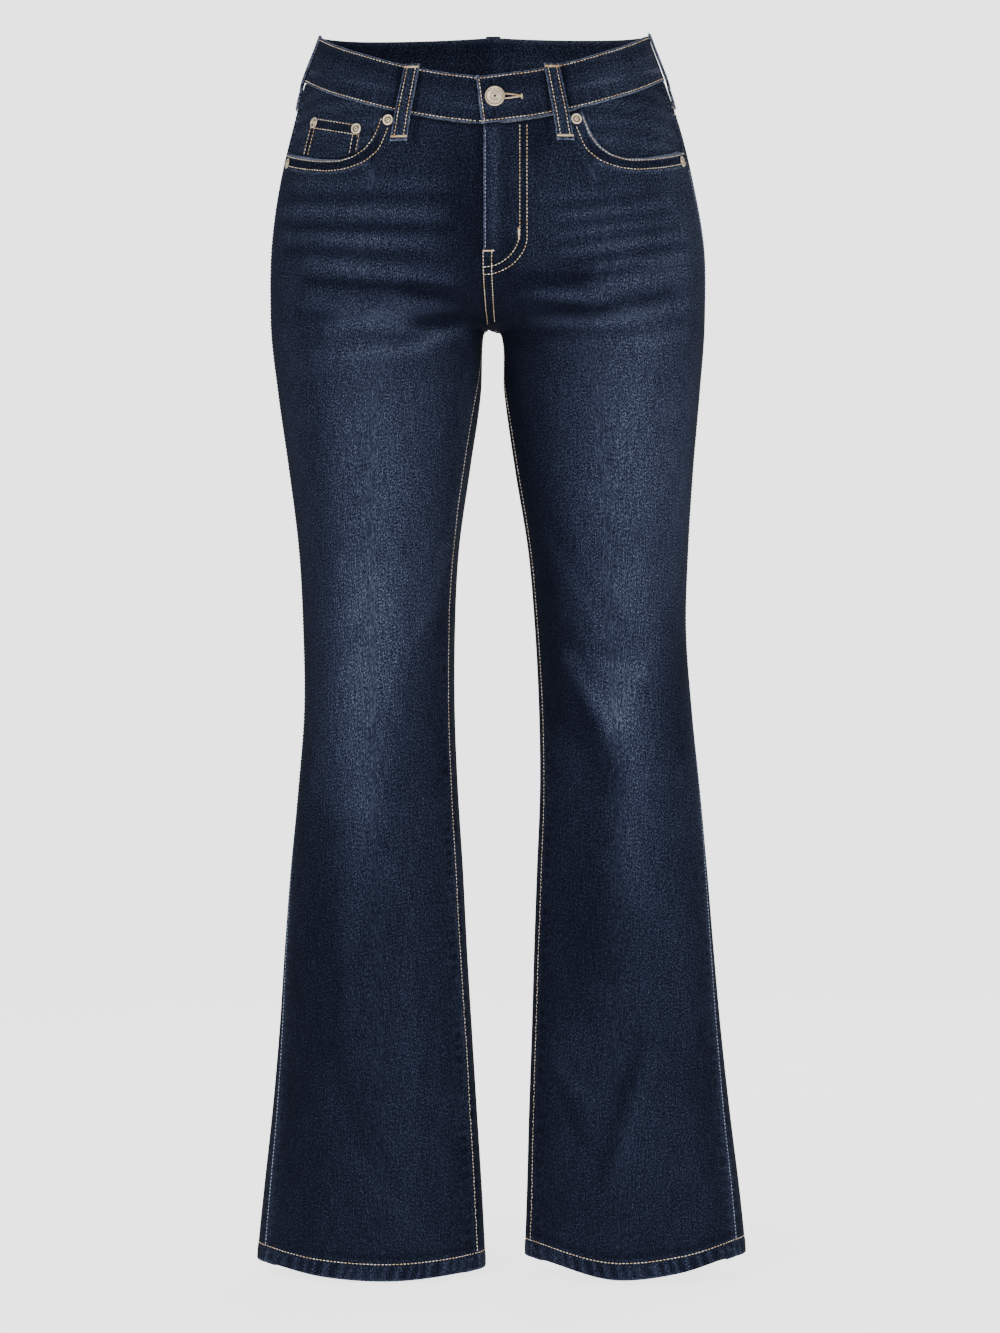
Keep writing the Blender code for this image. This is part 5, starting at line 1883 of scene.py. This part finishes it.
@dataclass
class Jeans:
    """The whole garment."""

    finishes: Finishes = field(default_factory=Finishes)
    cloths: dict = field(default_factory=dict)

    def lay(self, kind: type, node: str, side: Side, **sizes: object) -> None:
        """Plan the panel that stands for a node."""
        self.cloths[node] = kind(name=f"{node}_cloth", side=side, nodes=(node,), **sizes)

    def cut(self) -> None:
        """Cut and lay every piece of cloth."""
        for side in Side:
            word = side.word
            on_band = (f"waistband_{word}_cloth",)
            self.lay(Waistband, f"waistband_{word}", side)
            self.lay(Leg, f"front_{word}", side, flat=(0.30, 1.02), area=0.222, rests_on=on_band)
            self.lay(Leg, f"back_{word}", side, flat=(0.34, 1.02), area=0.262,
                     rests_on=(f"yoke_{word}_cloth",), back=True)
            self.lay(Yoke, f"yoke_{word}", side, rests_on=on_band)
            self.lay(Facing, f"pocket_facing_{word}", side, rests_on=(f"front_{word}_cloth",))
            self.lay(BackPocket, f"back_pocket_{word}", side, rests_on=(f"back_{word}_cloth",))
            self.lay(Loop, f"belt_loop_front_{word}", side, rests_on=on_band, lean=-0.004)
            self.lay(Loop, f"belt_loop_side_{word}", side, rests_on=on_band, middle_way=LOOP_WAYS[1])
        self.lay(CoinPocket, "coin_pocket", Side.RIGHT, rests_on=("pocket_facing_right_cloth",))
        self.lay(Loop, "belt_loop_back", Side.LEFT, rests_on=("waistband_left_cloth",),
                 middle_way=LOOP_WAYS[2])
        for cloth in self.cloths.values():
            cloth.build(self.finishes)

    def sew(self) -> None:
        """Sew the rows of thread, side by side and piece by piece."""
        for side in Side:
            self.sew_waist(side)
            self.sew_pockets(side)
            self.sew_legs(side)
            self.sew_seat(side)
        self.sew_fly()
        self.sew_coin_pocket()
        self.sew_loops()

    def sew_waist(self, side: Side) -> None:
        """The waistband's two rows, and one down the end that laps over.

        Args:
            side: the half of the body.
        """
        band = self.cloths[f"waistband_{side.word}"]
        thread = Sewing(f"waist_thread_{side.word}", self.finishes.gold)
        start = -0.5 * 0.0028 / BAND_GIRTH if side is Side.LEFT else 0.012
        ways = np.linspace(start, 0.998, 400)
        thread.row(band, band.low(ways) + 0.0019, ways)
        thread.row(band, band.high(ways) - 0.0021, ways)
        if side is Side.LEFT:
            share = np.linspace(0.0, 1.0, 30)
            along = 0.0026 - lap_end(share)
            heights = band.low(0.0) + 0.0019 + (band.high(0.0) - band.low(0.0) - 0.0040) * share
            thread.row(band, heights, 0.5 * along / BAND_GIRTH)
        thread.build()

    def sew_pockets(self, side: Side) -> None:
        """Two rows along the scoop and round the back pocket.

        Args:
            side: the half of the body.
        """
        front = self.cloths[f"front_{side.word}"]
        thread = Sewing(f"pocket_thread_{side.word}", self.finishes.gold)
        ways = np.linspace(SCOOP[0][0] + 0.001, 0.494, 160)
        thread.row(front, scoop_height(ways) - 0.0016, ways)
        ways = np.linspace(SCOOP_ROW[0][0], 0.494, 160)
        thread.row(front, scoop_height(ways, SCOOP_ROW), ways)
        pocket = self.cloths[f"back_pocket_{side.word}"]
        for inset in (0.0020, 0.0078):
            across, low = 0.5 - inset / 0.125, inset / 0.134
            down, run = np.linspace(0.985, low, 40), np.linspace(-across, across, 81)
            thread.row(pocket, *pocket.outline(
                np.concatenate([np.full(40, -across), run, np.full(40, across)]),
                np.concatenate([down, np.full(81, low), down[::-1]])))
        for up in (0.984, 0.905):
            thread.row(pocket, *pocket.outline(np.linspace(-0.485, 0.485, 80), np.full(80, up)))
        thread.build()

    def sew_legs(self, side: Side) -> None:
        """The hem's row, and the rows beside the inseam and the outseam.

        Args:
            side: the half of the body.
        """
        hem = Sewing(f"hem_thread_{side.word}", self.finishes.pale)
        inner = Sewing(f"inseam_thread_{side.word}", self.finishes.cream)
        outer = Sewing(f"outseam_thread_{side.word}", self.finishes.blue)
        for back in (False, True):
            leg = self.cloths[f"{'back' if back else 'front'}_{side.word}"]
            ways = leg.first_way + np.linspace(0.001, 0.499, 200)
            hem.row(leg, hem_height(side, ways) + HEM_DEPTH, ways)
        foot = float(hem_height(side, np.array(0.99))) + HEM_DEPTH + 0.001
        heights = np.concatenate(
            [np.linspace(CROTCH - 0.001, CROTCH - 0.03, 60), np.linspace(CROTCH - 0.031, foot, 500)])
        back = self.cloths[f"back_{side.word}"]
        shift = 0.0022 + 0.0022 * ease(-0.5, -0.9, heights)
        inner.row(back, heights, 1 - 0.5 * shift / SKIN.girth(side, True, heights))
        foot = float(hem_height(side, np.array(0.49))) + HEM_DEPTH + 0.001
        heights = np.linspace(-0.112, foot, 500)
        outer.row(back, heights, SKIN.way_at(side, True, heights, 0.0018))
        for thread in (hem, inner, outer):
            thread.build()

    def sew_seat(self, side: Side) -> None:
        """Two rows under the yoke's edge, and the seat seam's two rows on the left back.

        Args:
            side: the half of the body.
        """
        thread = Sewing(f"seat_thread_{side.word}", self.finishes.gold)
        yoke = self.cloths[f"yoke_{side.word}"]
        ways = np.linspace(0.505, 0.998, 200)
        for above in TWIN_ROWS:
            thread.row(yoke, yoke.low(ways) + above, ways)
        if side is Side.LEFT:
            back = self.cloths["back_left"]
            heights = np.concatenate(
                [np.linspace(-0.089, -0.235, 160), np.linspace(-0.2355, CROTCH + 0.0005, 60)])
            for inset in TWIN_ROWS:
                thread.row(back, heights, 1 - 0.5 * inset / SKIN.girth(side, True, heights))
                upper = np.linspace(-0.021, -0.085, 60)
                thread.row(yoke, upper, 1 - 0.5 * inset / SKIN.girth(side, True, upper))
        thread.build()

    def sew_fly(self) -> None:
        """The fly's curved rows, its edge, its bar tacks and the buttonhole."""
        front = self.cloths["front_left"]
        thread = Sewing("fly_thread", self.finishes.gold)
        edge = Sewing("fly_edge_thread", self.finishes.blue)
        for at, turn_z, end_z in ((0.0305, -0.174, -0.2015), (0.0365, -0.178, -0.2075)):
            angle = np.linspace(0.0, math.pi / 2, 60)
            straight = np.linspace(-0.0838, turn_z, 80)
            curve_z = turn_z + (end_z - turn_z) * np.sin(angle) ** 1.15
            curve_x = at * np.cos(angle) ** 0.85
            heights = np.concatenate([straight, curve_z[1:]])
            along = np.concatenate([np.full(80, at), curve_x[1:]]) + 0.0008
            thread.row(front, heights, SKIN.way_at(Side.LEFT, False, heights, along))
        heights = np.linspace(-0.0885, -0.187, 120)
        edge.row(front, heights, SKIN.way_at(Side.LEFT, False, heights, front.reach(heights) + 0.0016))
        heights = np.linspace(FLY_FOOT, CROTCH + 0.0015, 120)
        ways = np.linspace(0.0, 0.25, 240)
        across = SKIN.bare(Side.LEFT, heights[:, None], ways[None, :])[..., 0]
        for inset in (0.0009, 0.0080):
            thread.row(front, heights, np.array([np.interp(inset, line, ways) for line in across]))
        girth = SKIN.girth(Side.LEFT, False, np.array(FLY_FOOT))
        way = 0.5 * np.linspace(0.0006, 0.0098, 12) / girth
        thread.row(front, np.full(12, FLY_FOOT), way, Stitch.SATIN, 0.0015)
        heights = np.linspace(-0.1700, -0.1800, 12)
        thread.row(front, heights, 0.5 * 0.0309 / girth, Stitch.SATIN, 0.0017)
        band = self.cloths["waistband_left"]
        girth = SKIN.girth(Side.LEFT, False, np.array(-0.061))
        run = np.linspace(0.0, 1.0, 20)
        for turn in (1, -1):
            heights = -0.0608 + turn * 0.0021 * (1 - run) ** 0.7
            thread.row(band, heights, 0.5 * (0.0185 + 0.0140 * run) / girth, Stitch.SATIN, 0.0014, 0.0005)
        thread.row(band, np.linspace(-0.0630, -0.0586, 10), 0.5 * 0.0330 / girth, Stitch.SATIN, 0.0018)
        thread.build()
        edge.build()

    def sew_coin_pocket(self) -> None:
        """The small pocket's rows at its top and sides."""
        pocket = self.cloths["coin_pocket"]
        thread = Sewing("coin_pocket_thread", self.finishes.gold)
        ways = np.linspace(pocket.start + 0.003, pocket.end - 0.003, 60)
        for inset in (0.0016, 0.0092):
            thread.row(pocket, pocket.high(ways) - inset, ways)
        girth = float(SKIN.girth(Side.RIGHT, False, np.array(-0.09)))
        for inset in (0.0016, 0.0072):
            for way in (pocket.start + 0.5 * inset / girth, pocket.end - 0.5 * inset / girth):
                heights = np.linspace(pocket.high(way) - 0.002, pocket.low(way) + 0.0008, 30)
                thread.row(pocket, heights, way)
        thread.build()

    def sew_loops(self) -> None:
        """Two rows up each belt loop and a bar tack at both ends."""
        thread = Sewing("loop_thread", self.finishes.gold)
        tacks = Sewing("loop_tacks", self.finishes.tack)
        for name, loop in self.cloths.items():
            if not isinstance(loop, Loop):
                continue
            up = np.linspace(0.06, 0.95, 60)
            for across in (-0.0038, 0.0038):
                thread.row(loop, *loop.outline(np.full(60, across), up))
            for end in (0.055, 0.955):
                line = np.linspace(-0.0066, 0.0066, 24)
                tacks.row(loop, *loop.outline(line, np.full(24, end)), Stitch.SATIN, 0.0021)
        thread.build()
        tacks.build()

    def fasten(self) -> None:
        """Set the button and the rivets."""
        button = Stud("button_head", self.finishes.champagne, "button_metal", BUTTON_PROFILE, -0.061, 0.028)
        button.build(self.cloths["waistband_left"], 0.0038)
        places = (("scoop", 0.199, -0.0790), ("side", 0.4625, -0.1075))
        for side in Side:
            front = self.cloths[f"front_{side.word}"]
            for name, way, height in places:
                Stud(f"rivet_{name}_{side.word}_head", self.finishes.copper, "rivet_metal", RIVET_PROFILE,
                     height, way, 28).build(front, 0.0003)
        for name, way, height in (("inner", 0.268, -0.0850), ("outer", 0.389, -0.0760)):
            Stud(f"rivet_coin_{name}_head", self.finishes.copper, "rivet_metal", RIVET_PROFILE,
                 height, way, 28).build(self.cloths["coin_pocket"], -0.0003)


@dataclass
class Studio:
    """A pale floor that melts into a pale room, soft lights and the camera."""

    floor_height: float = -1.0575
    floor_radius: float = 3.2
    plain_radius: float = 1.1
    room_seen: float = 2.9
    room_light: float = 0.50

    def floor(self) -> None:
        """Lay the round floor, clear towards its rim."""
        graph = Graph("pale_floor")
        place = graph.add("TexCoord").outputs["Object"]
        flat = graph.add("VectorMath", {0: place, 1: (1.0, 1.0, 0.0)}, operation="MULTIPLY").outputs[0]
        away = graph.add("VectorMath", {0: flat}, operation="LENGTH").outputs["Value"]
        solid = graph.add("MapRange", {
            "Value": away, "From Min": self.plain_radius, "From Max": self.floor_radius,
            "To Min": 1.0, "To Max": 0.0}, interpolation_type="SMOOTHSTEP")
        tone = graph.ramp(
            graph.noise(place, 2.0, 2.0), ((0.3, (0.88, 0.88, 0.89)), (0.7, (0.92, 0.92, 0.92))))
        material = graph.finish(
            Base_Color=tone, Roughness=0.9, Specular_IOR_Level=0.1, Alpha=solid.outputs[0],
            Emission_Color=(1.0, 1.0, 1.0, 1.0), Emission_Strength=2.3)
        mesh = bmesh.new()
        bmesh.ops.create_circle(mesh, cap_ends=True, segments=96, radius=self.floor_radius,
                                matrix=Matrix.Translation((0.0, 0.0, self.floor_height)))
        bmesh.ops.recalc_face_normals(mesh, faces=mesh.faces)
        finished("floor", mesh, [material])

    def light(self, name: str, place: tuple, size: tuple, power: float) -> None:
        """A soft light that looks at the middle of the jeans.

        Args:
            name: its name.
            place: where it stands.
            size: its width and height.
            power: its watts.
        """
        data = bpy.data.lights.new(name, "AREA")
        data.shape, data.size, data.size_y, data.energy = "RECTANGLE", size[0], size[1], power
        lamp = bpy.data.objects.new(name, data)
        lamp.location = place
        lamp.visible_camera = False
        lamp.rotation_mode = "QUATERNION"
        lamp.rotation_quaternion = (Vector((0.0, 0.0, -0.5)) - Vector(place)).to_track_quat("-Z", "Y")
        bpy.context.scene.collection.objects.link(lamp)

    def camera(self) -> None:
        """Stand the camera where the picture's viewer stood."""
        data = bpy.data.cameras.new("camera")
        data.sensor_fit, data.sensor_height = "VERTICAL", 36.0
        data.lens = 36.0 * EYE.distance / EYE.seen_height
        made = bpy.data.objects.new("camera", data)
        made.location = Vector(EYE.place)
        made.rotation_euler = (math.pi / 2, 0.0, EYE.turn)
        bpy.context.scene.collection.objects.link(made)
        bpy.context.scene.camera = made

    def room(self) -> None:
        """A room that looks pale and gives a little light from all round."""
        world = bpy.data.worlds.new("pale_room")
        world.use_nodes = True
        tree = world.node_tree
        back = tree.nodes["Background"]
        back.inputs["Color"].default_value = (1.0, 1.0, 1.0, 1.0)
        ray = tree.nodes.new("ShaderNodeLightPath")
        strength = tree.nodes.new("ShaderNodeMapRange")
        strength.inputs["To Min"].default_value = self.room_light
        strength.inputs["To Max"].default_value = self.room_seen
        tree.links.new(ray.outputs["Is Camera Ray"], strength.inputs["Value"])
        tree.links.new(strength.outputs[0], back.inputs["Strength"])
        bpy.context.scene.world = world

    def build(self) -> None:
        """Set up the whole studio."""
        self.floor()
        self.light("key", (-1.6, -3.2, 1.2), (2.4, 2.4), 70.0)
        self.light("fill", (2.2, -3.0, 0.4), (2.4, 2.4), 36.0)
        self.light("behind", (0.9, 3.4, 0.9), (2.4, 2.4), 48.0)
        self.camera()
        self.room()


def main() -> None:
    """Build the jeans and the studio, and report each piece."""
    logging.basicConfig(level=logging.INFO, format="%(message)s")
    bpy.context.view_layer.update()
    jeans = Jeans()
    jeans.cut()
    jeans.sew()
    jeans.fasten()
    Studio().build()


if __name__ == "__main__":
    main()
